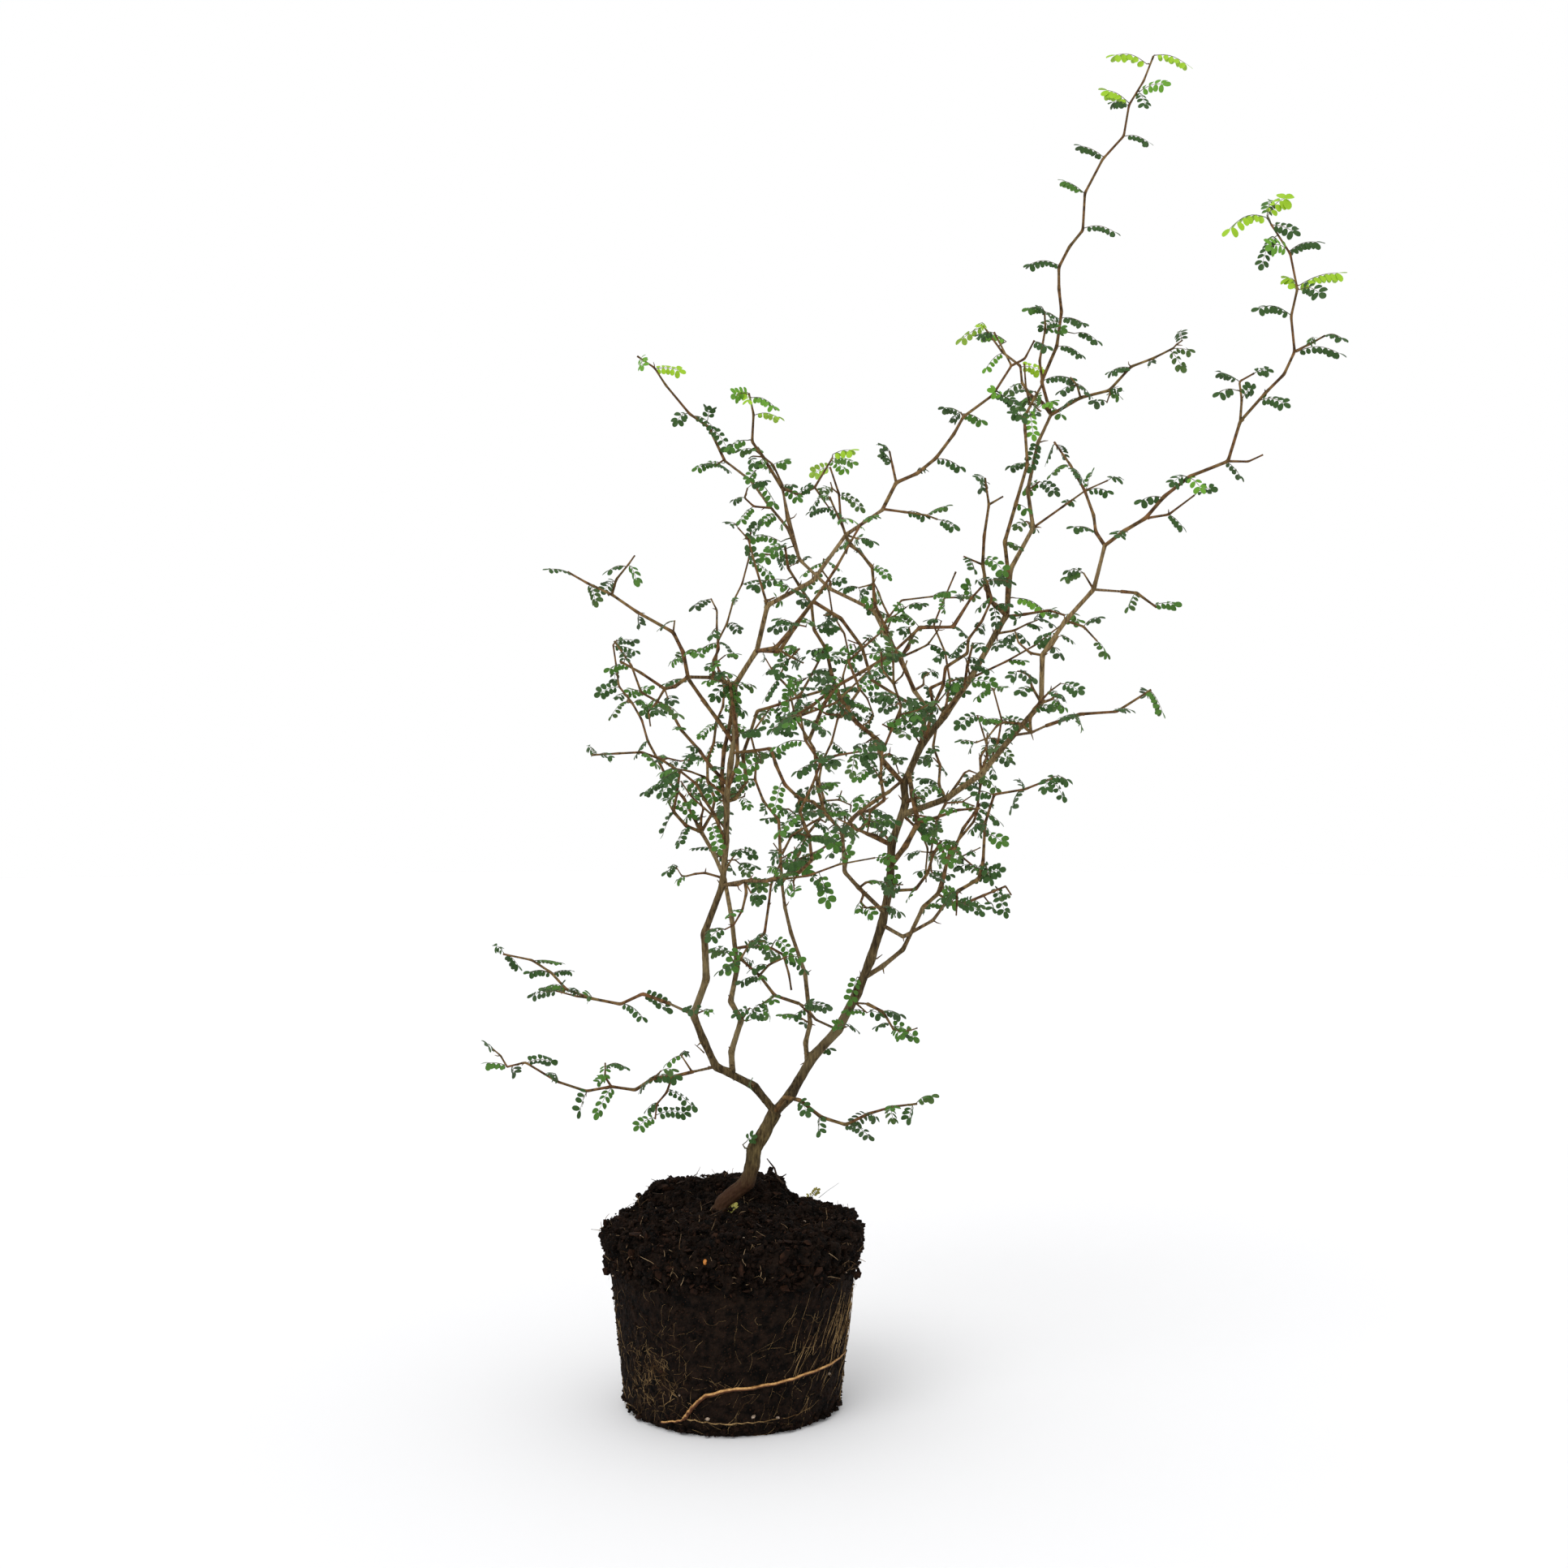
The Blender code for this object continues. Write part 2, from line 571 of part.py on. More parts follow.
def combine(base, others, operation, solver):
    """Join or cut a solid with a collection of others, and apply it."""
    group = bpy.data.collections.new("tools_of_" + base.name)
    bpy.context.scene.collection.children.link(group)
    for other in others:
        for home in list(other.users_collection):
            home.objects.unlink(other)
        group.objects.link(other)
        other.hide_render = True
        other.display_type = "WIRE"
    step = base.modifiers.new("joined", "BOOLEAN")
    step.operation = operation
    step.operand_type = "COLLECTION"
    step.collection = group
    step.solver = solver
    graph = bpy.context.evaluated_depsgraph_get()
    result = bpy.data.meshes.new_from_object(base.evaluated_get(graph))
    base.modifiers.remove(step)
    bpy.data.collections.remove(group)
    for other in others:
        bpy.context.scene.collection.objects.link(other)
    return result


def tidy(mesh):
    """Triangles only, slivers merged, and only the largest body kept."""
    work = bmesh.new()
    work.from_mesh(mesh)
    bmesh.ops.remove_doubles(work, verts=work.verts[:], dist=2e-6)
    bmesh.ops.dissolve_degenerate(work, edges=work.edges[:], dist=2e-6)
    bmesh.ops.dissolve_limit(work, angle_limit=0.002, verts=work.verts[:], edges=work.edges[:])
    bmesh.ops.triangulate(work, faces=work.faces[:])
    work.faces.ensure_lookup_table()
    seen = set()
    bodies = []
    for start in work.faces:
        if start.index in seen:
            continue
        stack = [start]
        seen.add(start.index)
        body = []
        while stack:
            face = stack.pop()
            body.append(face)
            for edge in face.edges:
                for far in edge.link_faces:
                    if far.index not in seen:
                        seen.add(far.index)
                        stack.append(far)
        bodies.append(body)
    bodies.sort(key=len, reverse=True)
    for scrap in bodies[1:]:
        bmesh.ops.delete(work, geom=scrap, context="FACES")
    out = bpy.data.meshes.new(mesh.name)
    work.to_mesh(out)
    work.free()
    return out, len(bodies)


def replace_mesh(target, mesh):
    old = target.data
    target.data = mesh
    mesh.name = target.name
    if old.users == 0:
        bpy.data.meshes.remove(old)


def join_or_cut(base, others, operation):
    """Combine solids exactly, or by the manifold solver where that fails."""
    if not others:
        return
    done = False
    for solver in SOLVERS:
        raw = combine(base, others, operation, solver)
        clean, bodies = tidy(raw)
        volume = closed_volume(clean)
        if volume is None:
            clean = raw
            volume = closed_volume(raw)
        if volume is not None and volume > 0.0:
            replace_mesh(base, clean)
            done = True
            if bodies > 1:
                print("note", base.name, operation, "left", bodies, "bodies, kept the largest")
            break
    if not done:
        print("FAILED", base.name, operation)
    for other in others:
        data = other.data
        bpy.data.objects.remove(other, do_unlink=True)
        bpy.data.meshes.remove(data)


def build_limb(name, limbs, at_same_tip):
    """The trunk or one bough, cut clear of whatever carries it."""
    path, foot, tip = limbs[name]
    first = Vector((0.0, 0.0, 1.0)) if name == "trunk" else None
    sides = 10 if name == "trunk" else BOUGH_SIDES
    made = tube(name, path, limb_radii(name, path, foot, tip), sides, first)
    cutters = []
    for other, stretch in at_same_tip:
        other_path, other_foot, other_tip = limbs[other]
        other_first = Vector((0.0, 0.0, 1.0)) if other == "trunk" else None
        other_sides = 10 if other == "trunk" else BOUGH_SIDES
        radii = limb_radii(other, other_path, other_foot, other_tip)
        part = other_path[:stretch] if stretch else other_path
        cutters.append(tube("cutter", part, radii, other_sides, other_first, GAP))
    join_or_cut(made, cutters, "DIFFERENCE")
    return made


def stem_radii(path):
    """A mass's stem thins evenly to its tip."""
    return [STEM_RADIUS + (STEM_TIP_RADIUS - STEM_RADIUS) * share for share in along_shares(path)]


def build_spray(name, mass, limbs, carriers, brothers, masses):
    """One foliage mass: stem, side twigs and leaves joined, then cut clear of its bough's tip."""
    stem, twigs, leaves = mass
    made = tube(name, stem, stem_radii(stem), 3)
    parts = []
    for path in twigs:
        foot = path[0] - (path[1] - path[0]).normalized() * 0.15
        parts.append(tube("twig", [foot] + path[1:], [TWIG_RADIUS] * len(path), 3))
    for leaf in leaves:
        parts.append(leaf_blade("leaf", leaf))
    join_or_cut(made, parts, "UNION")
    cutters = []
    for other, stretch in carriers:
        other_path, other_foot, other_tip = limbs[other]
        other_first = Vector((0.0, 0.0, 1.0)) if other == "trunk" else None
        other_sides = 10 if other == "trunk" else BOUGH_SIDES
        radii = limb_radii(other, other_path, other_foot, other_tip)
        part = other_path[:stretch] if stretch else other_path
        cutters.append(tube("cutter", part, radii, other_sides, other_first, GAP))
    for other in brothers:
        other_stem = masses[other][0]
        cutters.append(tube("cutter", other_stem[:3], stem_radii(other_stem), 3, None, GAP))
    join_or_cut(made, cutters, "DIFFERENCE")
    return made


def ball_radius(height):
    """Radius of the ball's tapered side at a height."""
    return BALL_FOOT_RADIUS + (BALL_RIM_RADIUS - BALL_FOOT_RADIUS) * min(1.0, height / BALL_RIM_HEIGHT)


def ripple(turn, seed):
    """A slow uneven wave round the ball, from -1 to 1."""
    rng = random.Random(seed)
    total = 0.0
    for wave, size in ((2, 0.4), (3, 0.3), (5, 0.3), (9, 0.25), (14, 0.2)):
        total += size * math.sin(wave * turn + rng.uniform(0.0, math.tau))
    return total


def pale_root_path():
    """The pale root lies half in the ball's side."""
    path = []
    for bearing, height in PALE_ROOT_COURSE:
        turn = math.radians(bearing)
        radius = ball_radius(height) + 0.5
        path.append(Vector((radius * math.sin(turn), -radius * math.cos(turn), float(height))))
    fine = []
    for near, far in zip(path, path[1:]):
        fine.append(near)
        middle = (near + far) * 0.5
        flat = Vector((middle.x, middle.y, 0.0))
        wanted = ball_radius(middle.z) + 0.5
        fine.append(Vector((flat.x * wanted / flat.length, flat.y * wanted / flat.length, middle.z)))
    fine.append(path[-1])
    return fine


def build_ball():
    """The compost cake: flat foot, plain tapered side, ragged band and a mounded top."""
    rings = [(0.0, 0.945, 0.0), (2.5, 0.985, 0.0), (8.0, 1.0, 0.15), (45.0, 1.0, 0.3)]
    rings += [(BALL_BAND_HEIGHT - 4.0, 1.0, 0.4), (BALL_BAND_HEIGHT, 1.015, 1.2), (92.0, 1.03, 1.8)]
    rings += [(99.0, 1.025, 1.8), (BALL_RIM_HEIGHT, 0.985, 1.6)]
    points = []
    faces = []
    for level, (height, share, rough) in enumerate(rings):
        for step in range(BALL_FACETS):
            turn = math.tau * step / BALL_FACETS
            radius = ball_radius(height) * share + rough * ripple(turn, "side %d" % (level // 2))
            lift = 0.0
            if height > BALL_BAND_HEIGHT - 6.0:
                lift = 0.9 * rough * ripple(turn, "rim %d" % level)
            points.append(Vector((radius * math.sin(turn), -radius * math.cos(turn), height + lift)))
    tops = [(66.0, 109.0), (54.0, 112.5), (40.0, 114.5), (26.0, 115.8)]
    for level, (radius, height) in enumerate(tops):
        for step in range(BALL_FACETS):
            turn = math.tau * step / BALL_FACETS
            x = radius * math.sin(turn)
            y = -radius * math.cos(turn)
            from_mound = (x - MOUND_PLACE[0]) ** 2 + (y - MOUND_PLACE[1]) ** 2
            mound = MOUND_HEIGHT * math.exp(-from_mound / 900.0)
            rough = 1.7 * ripple(turn, "top %d" % level) if level < 3 else 0.5
            slope = -0.030 * x + 0.035 * y
            points.append(Vector((x, y, height + mound + rough + slope * (radius / 66.0))))
    for step in range(BALL_FACETS):
        turn = math.tau * step / BALL_FACETS
        x = TRUNK_BENDS[0][0] + 10.5 * math.sin(turn)
        y = -10.5 * math.cos(turn)
        points.append(Vector((x, y, GROUND_HEIGHT - GAP)))
    levels = len(rings) + len(tops) + 1
    for level in range(levels - 1):
        low = level * BALL_FACETS
        for step in range(BALL_FACETS):
            after = (step + 1) % BALL_FACETS
            faces.append((low + step, low + after, low + BALL_FACETS + after, low + BALL_FACETS + step))
    faces.append(tuple(range(BALL_FACETS - 1, -1, -1)))
    faces.append(tuple(range((levels - 1) * BALL_FACETS, levels * BALL_FACETS)))
    ball = solid("root_ball", points, faces)
    course = pale_root_path()
    radii = [PALE_ROOT_RADIUS + (PALE_ROOT_TIP_RADIUS - PALE_ROOT_RADIUS) * s for s in along_shares(course)]
    root = tube("pale_root", course, radii, 6)
    cutter = tube("cutter", course, radii, 6, None, GAP)
    join_or_cut(ball, [cutter], "DIFFERENCE")
    return ball, root


def dress(made, colour, roughness, smooth):
    """Give a node its finish and shading."""
    made.data.materials.clear()
    made.data.materials.append(finish_of(made.name, colour, roughness))
    for face in made.data.polygons:
        face.use_smooth = smooth


def main():
    clear_scene()
    limbs, masses, space = grow_plant()
    ball, root = build_ball()
    dress(ball, COMPOST, 0.95, False)
    dress(root, PALE, 0.7, True)
    dress(build_limb("trunk", limbs, []), BARK, 0.8, True)
    starts = {}
    for name, carrier, foot, tip, bends in BOUGHS:
        foot_place = limbs[name][0][0]
        same = [(other, 3) for other, place in starts.items() if (place - foot_place).length < 0.5]
        dress(build_limb(name, limbs, [(carrier, 0)] + same), BARK, 0.8, True)
        starts[name] = foot_place
    placed = []
    for name, bough, reach, twiggy, leafy, bends in SPRAYS:
        here = limbs[bough][0][-1]
        carriers = [(bough, 0)]
        carriers += [(other, 3) for other, place in starts.items() if (place - here).length < 0.5]
        brothers = [other for other, other_bough in placed if other_bough == bough]
        made = build_spray(name, masses[name], limbs, carriers, brothers, masses)
        dress(made, LEAF, 0.6, False)
        placed.append((name, bough))


main()
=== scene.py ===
"""A young zigzag shrub standing on its own root ball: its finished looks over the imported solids.

Metres, +Z up; sizes in the sections are millimetres.  The shrub is grown again by the rule that
its solids follow, then carried on to finer twigs and to feathery leaves with all their leaflets.
"""

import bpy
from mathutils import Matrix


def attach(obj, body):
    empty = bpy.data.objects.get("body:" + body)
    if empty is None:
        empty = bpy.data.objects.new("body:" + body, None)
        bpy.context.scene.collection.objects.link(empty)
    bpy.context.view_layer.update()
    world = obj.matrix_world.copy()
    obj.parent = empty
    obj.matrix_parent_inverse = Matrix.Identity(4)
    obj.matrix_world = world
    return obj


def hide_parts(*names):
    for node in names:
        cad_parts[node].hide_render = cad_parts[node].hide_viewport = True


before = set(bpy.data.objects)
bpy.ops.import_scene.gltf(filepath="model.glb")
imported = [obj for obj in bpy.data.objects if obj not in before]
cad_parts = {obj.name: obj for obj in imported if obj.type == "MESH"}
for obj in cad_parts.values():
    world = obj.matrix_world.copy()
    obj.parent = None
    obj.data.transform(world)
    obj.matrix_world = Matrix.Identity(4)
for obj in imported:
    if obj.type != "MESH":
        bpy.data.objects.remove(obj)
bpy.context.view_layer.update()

import math
import random

import bmesh
import bpy
from mathutils import kdtree
from mathutils import Matrix
from mathutils import noise
from mathutils import Vector
from mathutils.geometry import intersect_point_line
import numpy as np


# ---- Root ball ----------------------------------------------------------------------------------
# A cake of damp bark compost that keeps the shape of the tapered pot it was knocked out of: flat
# underneath, matted down the side, with a loose ragged collar round the rim and a mound across
# the back.  It is one crust of compost, lumpy with clods wherever it has crumbled.

MM = 0.001
FOOT_RADIUS = 66.0
RIM_RADIUS = 77.0
TAPER_HEIGHT = 104.0
BAND_HEIGHT = 86.0
COLLAR_TOP = 107.0
MOUND_HEIGHT = 12.0
RING_RADII = (0.0, 10.0, 26.0, 42.0, 58.0, 70.0, 77.0)
RING_HEIGHTS = (117.2, 117.0, 116.2, 115.0, 113.0, 110.8, 107.8)
CAKE_SIDES = 96
CLOD_SHAPES = 6
RIM_CLODS = 460
TOP_CLODS = 520
CRUST_VOXEL = 1.3
FOOT_BAND = 1.2
ALL_ROUND = (0.0, 360.0)


def side_radius(height):
    """Radius of the cake's tapered side at a height."""
    return FOOT_RADIUS + (RIM_RADIUS - FOOT_RADIUS) * min(1.0, height / TAPER_HEIGHT)


def on_side(bearing, height, out=0.0):
    """A point on the cake's side; bearing 0 is the front and 90 the plant's right-hand side."""
    turn = math.radians(bearing)
    radius = side_radius(height) + out
    return Vector((radius * math.sin(turn), -radius * math.cos(turn), height))


def eased(value):
    """A smooth step from 0 to 1."""
    value = min(1.0, max(0.0, value))
    return value * value * (3.0 - 2.0 * value)


def top_height(x, y):
    """Height of the cake's top: a low dome, and a mound across its back that ends in a step."""
    radius = math.hypot(x, y)
    mound = eased((y - 8.0) / 26.0) * eased((x + 70.0) / 24.0) * eased((37.0 - x) / 11.0)
    mound *= eased((80.0 - radius) / 11.0)
    return float(np.interp(radius, RING_RADII, RING_HEIGHTS)) + MOUND_HEIGHT * mound


def on_top(x, y, lift=0.0):
    """A point on the cake's top."""
    return Vector((x, y, top_height(x, y) + lift))


def somewhere_on_top(rng, widest, lift=0.0):
    """A point on the cake's top, spread evenly."""
    radius = widest * math.sqrt(rng.random())
    turn = rng.uniform(0.0, math.tau)
    return on_top(radius * math.cos(turn), radius * math.sin(turn), lift)


def piece(name, mesh, node_names, finish, smooth=True):
    """Hang a finished mesh in the scene, on the plant's one body, in place of its plain solids."""
    made = bpy.data.objects.new(name, mesh)
    bpy.context.scene.collection.objects.link(made)
    mesh.materials.clear()
    mesh.materials.append(finish.material)
    mesh.polygons.foreach_set("use_smooth", [smooth] * len(mesh.polygons))
    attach(made, "root")
    if node_names:
        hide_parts(*node_names)


def meshed(work, name):
    """The mesh of a finished bmesh."""
    mesh = bpy.data.meshes.new(name)
    work.to_mesh(mesh)
    work.free()
    return mesh


def evaluated(name, data, finish_shape=None):
    """The mesh that a curve, or a mesh with modifiers, comes out as."""
    holder = bpy.data.objects.new(name + "_holder", data)
    bpy.context.scene.collection.objects.link(holder)
    if finish_shape:
        finish_shape(holder)
    graph = bpy.context.evaluated_depsgraph_get()
    mesh = bpy.data.meshes.new_from_object(holder.evaluated_get(graph))
    mesh.name = name
    bpy.data.objects.remove(holder, do_unlink=True)
    return mesh


def skinned(work, name, voxel, rounds=0):
    """Fuse everything in a bmesh into one even skin, smoothed for some rounds."""
    def add_modifiers(holder):
        skin = holder.modifiers.new("skin", "REMESH")
        skin.mode = "VOXEL"
        skin.voxel_size = voxel * MM
        if rounds:
            soften = holder.modifiers.new("soften", "SMOOTH")
            soften.factor = 0.5
            soften.iterations = rounds

    rough = meshed(work, name + "_rough")
    mesh = evaluated(name, rough, add_modifiers)
    bpy.data.meshes.remove(rough)
    return mesh


def lump_shape(name, fine, flat, rough, seed):
    """One small broken lump, about 1 across: a ball knocked out of round and flattened."""
    chance = random.Random(seed)
    work = bmesh.new()
    bmesh.ops.create_icosphere(work, subdivisions=fine, radius=0.5)
    seat = Vector((chance.uniform(0.0, 50.0), chance.uniform(0.0, 50.0), 0.0))
    for vert in work.verts:
        vert.co *= 1.0 + rough * noise.noise(vert.co * 2.4 + seat) + chance.uniform(-0.12, 0.12)
        vert.co.z *= flat
    bmesh.ops.recalc_face_normals(work, faces=work.faces[:])
    return meshed(work, name)


def sown(name, shapes, places):
    """One joined mesh with a shape at every place; places are (shape number, 4x4 matrix)."""
    points = []
    faces = []
    start = 0
    for number, shape in enumerate(shapes):
        frames = np.array([[row[:] for row in m] for kind, m in places if kind == number])
        if len(frames) == 0:
            continue
        shape_points = np.array([v.co[:] for v in shape.vertices])
        spread = np.einsum("nij,vj->nvi", frames[:, :3, :3], shape_points) + frames[:, None, :3, 3]
        points.append(spread.reshape(-1, 3))
        corners = [tuple(face.vertices) for face in shape.polygons]
        for copy in range(len(frames)):
            base = start + copy * len(shape_points)
            faces.extend(tuple(base + c for c in corner) for corner in corners)
        start += len(frames) * len(shape_points)
    mesh = bpy.data.meshes.new(name)
    mesh.from_pydata(np.concatenate(points).tolist(), [], faces)
    mesh.update()
    return mesh


def set_down(spot, size, rng, tilt=1.0):
    """A place for a lump: turned at random, scaled to size, at a spot in millimetres."""
    turn = Matrix.Rotation(rng.uniform(0.0, math.tau), 4, "Z")
    lean = Matrix.Rotation(rng.uniform(-tilt, tilt) * 1.5, 4, "X")
    stretch = Matrix.Diagonal((size * MM * rng.uniform(0.8, 1.5), size * MM, size * MM * 0.9, 1.0))
    return Matrix.Translation(spot * MM) @ turn @ lean @ stretch


cake = bmesh.new()
outline = [(0.0, 0.0), (FOOT_RADIUS * 0.5, 0.0), (FOOT_RADIUS * 0.95, 0.0), (FOOT_RADIUS * 0.985, 2.5)]
outline += [(side_radius(z), z) for z in (8.0, 26.0, 45.0, 64.0, 80.0)]
outline += [(side_radius(z) * 1.01, z) for z in (BAND_HEIGHT, 93.0, 100.0)]
outline += [(RIM_RADIUS * 0.985, COLLAR_TOP)]
outline += [(r, z) for r, z in zip(RING_RADII[-2::-1], RING_HEIGHTS[-2::-1])]
turned = [cake.verts.new((r * MM, 0.0, z * MM)) for r, z in outline]
for near, far in zip(turned, turned[1:]):
    cake.edges.new((near, far))
bmesh.ops.spin(cake, geom=cake.verts[:] + cake.edges[:], cent=(0, 0, 0), axis=(0, 0, 1),
               dvec=(0, 0, 0), angle=math.tau, steps=CAKE_SIDES, use_merge=True, use_duplicate=False)
bmesh.ops.remove_doubles(cake, verts=cake.verts[:], dist=0.00002)
inner = [e for e in cake.edges if min(v.co.z for v in e.verts) > (COLLAR_TOP + 0.5) * MM]
bmesh.ops.subdivide_edges(cake, edges=inner, cuts=2, use_grid_fill=True)
for vert in cake.verts:
    if vert.co.z > (COLLAR_TOP - 0.5) * MM:
        vert.co.z = top_height(vert.co.x / MM, vert.co.y / MM) * MM
bmesh.ops.recalc_face_normals(cake, faces=cake.faces[:])

clods = [lump_shape("clod_%d" % n, 2, 0.85, 0.75, "clod %d" % n) for n in range(CLOD_SHAPES)]
rng = random.Random("root ball")
clod_places = []
for number in range(RIM_CLODS):
    size = 3.0 + 9.0 * rng.random() ** 1.8
    height = BAND_HEIGHT + 1.0 + (COLLAR_TOP - BAND_HEIGHT) * rng.random() ** 0.8
    spot = on_side(rng.uniform(*ALL_ROUND), height, 1.5 - 0.26 * size)
    clod_places.append((rng.randrange(CLOD_SHAPES), set_down(spot, size, rng)))
for number in range(TOP_CLODS):
    size = 3.0 + 10.0 * rng.random() ** 1.8
    spot = somewhere_on_top(rng, RIM_RADIUS, -0.12 * size)
    clod_places.append((rng.randrange(CLOD_SHAPES), set_down(spot, size, rng)))
cake.from_mesh(sown("clods", clods, clod_places))
crust = skinned(cake, "root_ball_crust", CRUST_VOXEL)


def crumbled(spot):
    """How far the crust stands out at a spot: coarse lumps and cracks in the collar, grain all over."""
    loose = min(1.0, max(0.0, (spot.z - BAND_HEIGHT + 4.0) / 10.0))
    coarse = noise.noise(spot * 0.16) * (0.6 + 1.7 * loose)
    gap = max(0.0, 1.0 - abs(noise.noise(spot * 0.12 + Vector((4.0, 8.0, 1.0)))) / 0.16)
    coarse -= gap * (0.4 + 2.6 * loose)
    fine = noise.noise(spot * 0.45 + Vector((7.0, 3.0, 5.0))) * (0.9 + 1.0 * loose)
    grain = noise.noise(spot * 1.1 + Vector((1.0, 9.0, 2.0))) * (0.45 + 0.25 * loose)
    return coarse + fine + grain


places = np.empty(len(crust.vertices) * 3)
crust.vertices.foreach_get("co", places)
places = places.reshape(-1, 3)
ways = np.array([v.normal[:] for v in crust.vertices])
lift = np.array([crumbled(Vector(place) / MM) for place in places])
places = places + ways * (lift[:, None] * MM)
low = places[:, 2] < FOOT_BAND * MM
places[low, 2] = np.maximum(places[low, 2] - 0.5 * FOOT_BAND * MM, 0.0)
crust.vertices.foreach_set("co", places.ravel())
crust.update()


def wire(tree, kind, sockets, **settings):
    """Add a shader node with its settings; a socket gets a plain value, or a link to what is given."""
    node = tree.nodes.new("ShaderNode" + kind)
    for setting, value in settings.items():
        setattr(node, setting, value)
    for socket, value in sockets.items():
        if isinstance(value, bpy.types.NodeSocket):
            tree.links.new(value, node.inputs[socket])
        else:
            node.inputs[socket].default_value = value
    return node


def ramped(tree, value, *stops):
    """Colours along a value from 0 to 1; each stop is a position and its colour."""
    node = wire(tree, "ValToRGB", {"Fac": value})
    elements = node.color_ramp.elements
    for element, (position, colour) in zip(elements, (stops[0], stops[-1])):
        element.position = position
        element.color = (*colour, 1.0)
    for position, colour in stops[1:-1]:
        elements.new(position).color = (*colour, 1.0)
    return node.outputs["Color"]


class Finish:
    """A material in the making: one shader, and nodes that read the Object coordinates."""

    def __init__(self, name, roughness, gloss=0.3):
        self.material = bpy.data.materials.new(name)
        self.material.use_nodes = True
        self.tree = self.material.node_tree
        self.shader = self.tree.nodes["Principled BSDF"]
        self.shader.inputs["Roughness"].default_value = roughness
        self.shader.inputs["Specular IOR Level"].default_value = gloss
        self.place = self.add("TexCoord").outputs["Object"]
        self.colour = None

    def add(self, kind, sockets=None, **settings):
        """One more node of this finish."""
        return wire(self.tree, kind, sockets or {}, **settings)

    def noise(self, scale, detail=2.0, place=None):
        """Soft mottle of a scale."""
        sockets = {"Vector": place or self.place, "Scale": scale, "Detail": detail}
        return self.add("TexNoise", sockets).outputs["Fac"]

    def attribute(self, name):
        """A value that the mesh carries at every point."""
        return self.add("Attribute", attribute_name=name).outputs["Fac"]

    def span(self, value, low, high, bottom=0.0, top=1.0):
        """Carry the range from low to high over to the range from bottom to top."""
        sockets = {"Value": value, "From Min": low, "From Max": high, "To Min": bottom, "To Max": top}
        return self.add("MapRange", sockets).outputs["Result"]

    def ramp(self, value, *stops):
        """Colours along a value from 0 to 1."""
        return ramped(self.tree, value, *stops)

    def mix(self, share, *colours, blend="MIX"):
        """Lay the second colour over the first by a share, or multiply them."""
        first, second = [(*c, 1.0) if isinstance(c, tuple) else c for c in colours]
        sockets = {0: share, 6: first, 7: second}
        return self.add("Mix", sockets, data_type="RGBA", blend_type=blend).outputs[2]

    def paint(self, colour):
        """Make a colour the finish's own."""
        self.colour = colour
        self.tree.links.new(colour, self.shader.inputs["Base Color"])

    def relief(self, height, strength, depth):
        """Fine relief; its depth is in millimetres."""
        bump = self.add("Bump", {"Strength": strength, "Distance": depth * MM, "Height": height})
        self.tree.links.new(bump.outputs["Normal"], self.shader.inputs["Normal"])


def grain_group():
    """Mottle and small relief at a given size: masks for colour, and a height for a bump."""
    group = bpy.data.node_groups.new("earth_grain", "ShaderNodeTree")
    face = group.interface
    face.new_socket("Place", in_out="INPUT", socket_type="NodeSocketVector")
    face.new_socket("Size", in_out="INPUT", socket_type="NodeSocketFloat")
    for name in ("Mottle", "Speck", "Height"):
        face.new_socket(name, in_out="OUTPUT", socket_type="NodeSocketFloat")
    enter = group.nodes.new("NodeGroupInput").outputs
    leave = group.nodes.new("NodeGroupOutput").inputs
    sockets = {"Vector": enter["Place"], "Scale": enter["Size"], "Detail": 5.0, "Roughness": 0.65}
    broad = wire(group, "TexNoise", sockets).outputs["Fac"]
    finer = wire(group, "Math", {0: enter["Size"], 1: 3.1}, operation="MULTIPLY").outputs[0]
    sockets = {"Vector": enter["Place"], "Scale": finer}
    cells = wire(group, "TexVoronoi", sockets).outputs["Distance"]
    rise = wire(group, "Math", {0: broad, 1: cells}, operation="ADD").outputs[0]
    group.links.new(broad, leave["Mottle"])
    group.links.new(ramped(group, cells, (0.06, (1, 1, 1)), (0.24, (0, 0, 0))), leave["Speck"])
    group.links.new(rise, leave["Height"])
    return group


EARTH_GRAIN = grain_group()


def earthy(name, dark, light, speck, size, roughness, depth, gloss=0.06):
    """A mottled, grainy finish: two ground colours, a sprinkling of specks and a rough skin."""
    finish = Finish(name, roughness, gloss)
    grain = finish.add("Group", node_tree=EARTH_GRAIN)
    grain.inputs["Size"].default_value = size
    finish.tree.links.new(finish.place, grain.inputs["Place"])
    ground = finish.ramp(grain.outputs["Mottle"], (0.40, dark), (0.64, light))
    finish.paint(finish.mix(grain.outputs["Speck"], ground, speck))
    finish.relief(grain.outputs["Height"], 0.8, depth)
    return finish


compost = earthy("damp_compost", (0.0024, 0.0018, 0.0015), (0.0150, 0.0085, 0.0056),
                 (0.0340, 0.0140, 0.0070), 170.0, 0.9, 0.9)
piece("root_ball_crust", crust, ["root_ball"], compost, smooth=False)


# ---- Crumbs on the root ball --------------------------------------------------------------------
# Loose bark and peat that clings to the rim and the top, with grains all down the side: dark
# crumbs, redder slips of bark, and a few larger flakes that hang out of the collar.

CRUMBS = 4300
FLAKES = 70
FOOT_CRUMBS = 260
SHAPES_EACH = 4
RIM_SHARE = 0.32
TOP_SHARE = 0.46
CRUMB_SHARE = 0.88
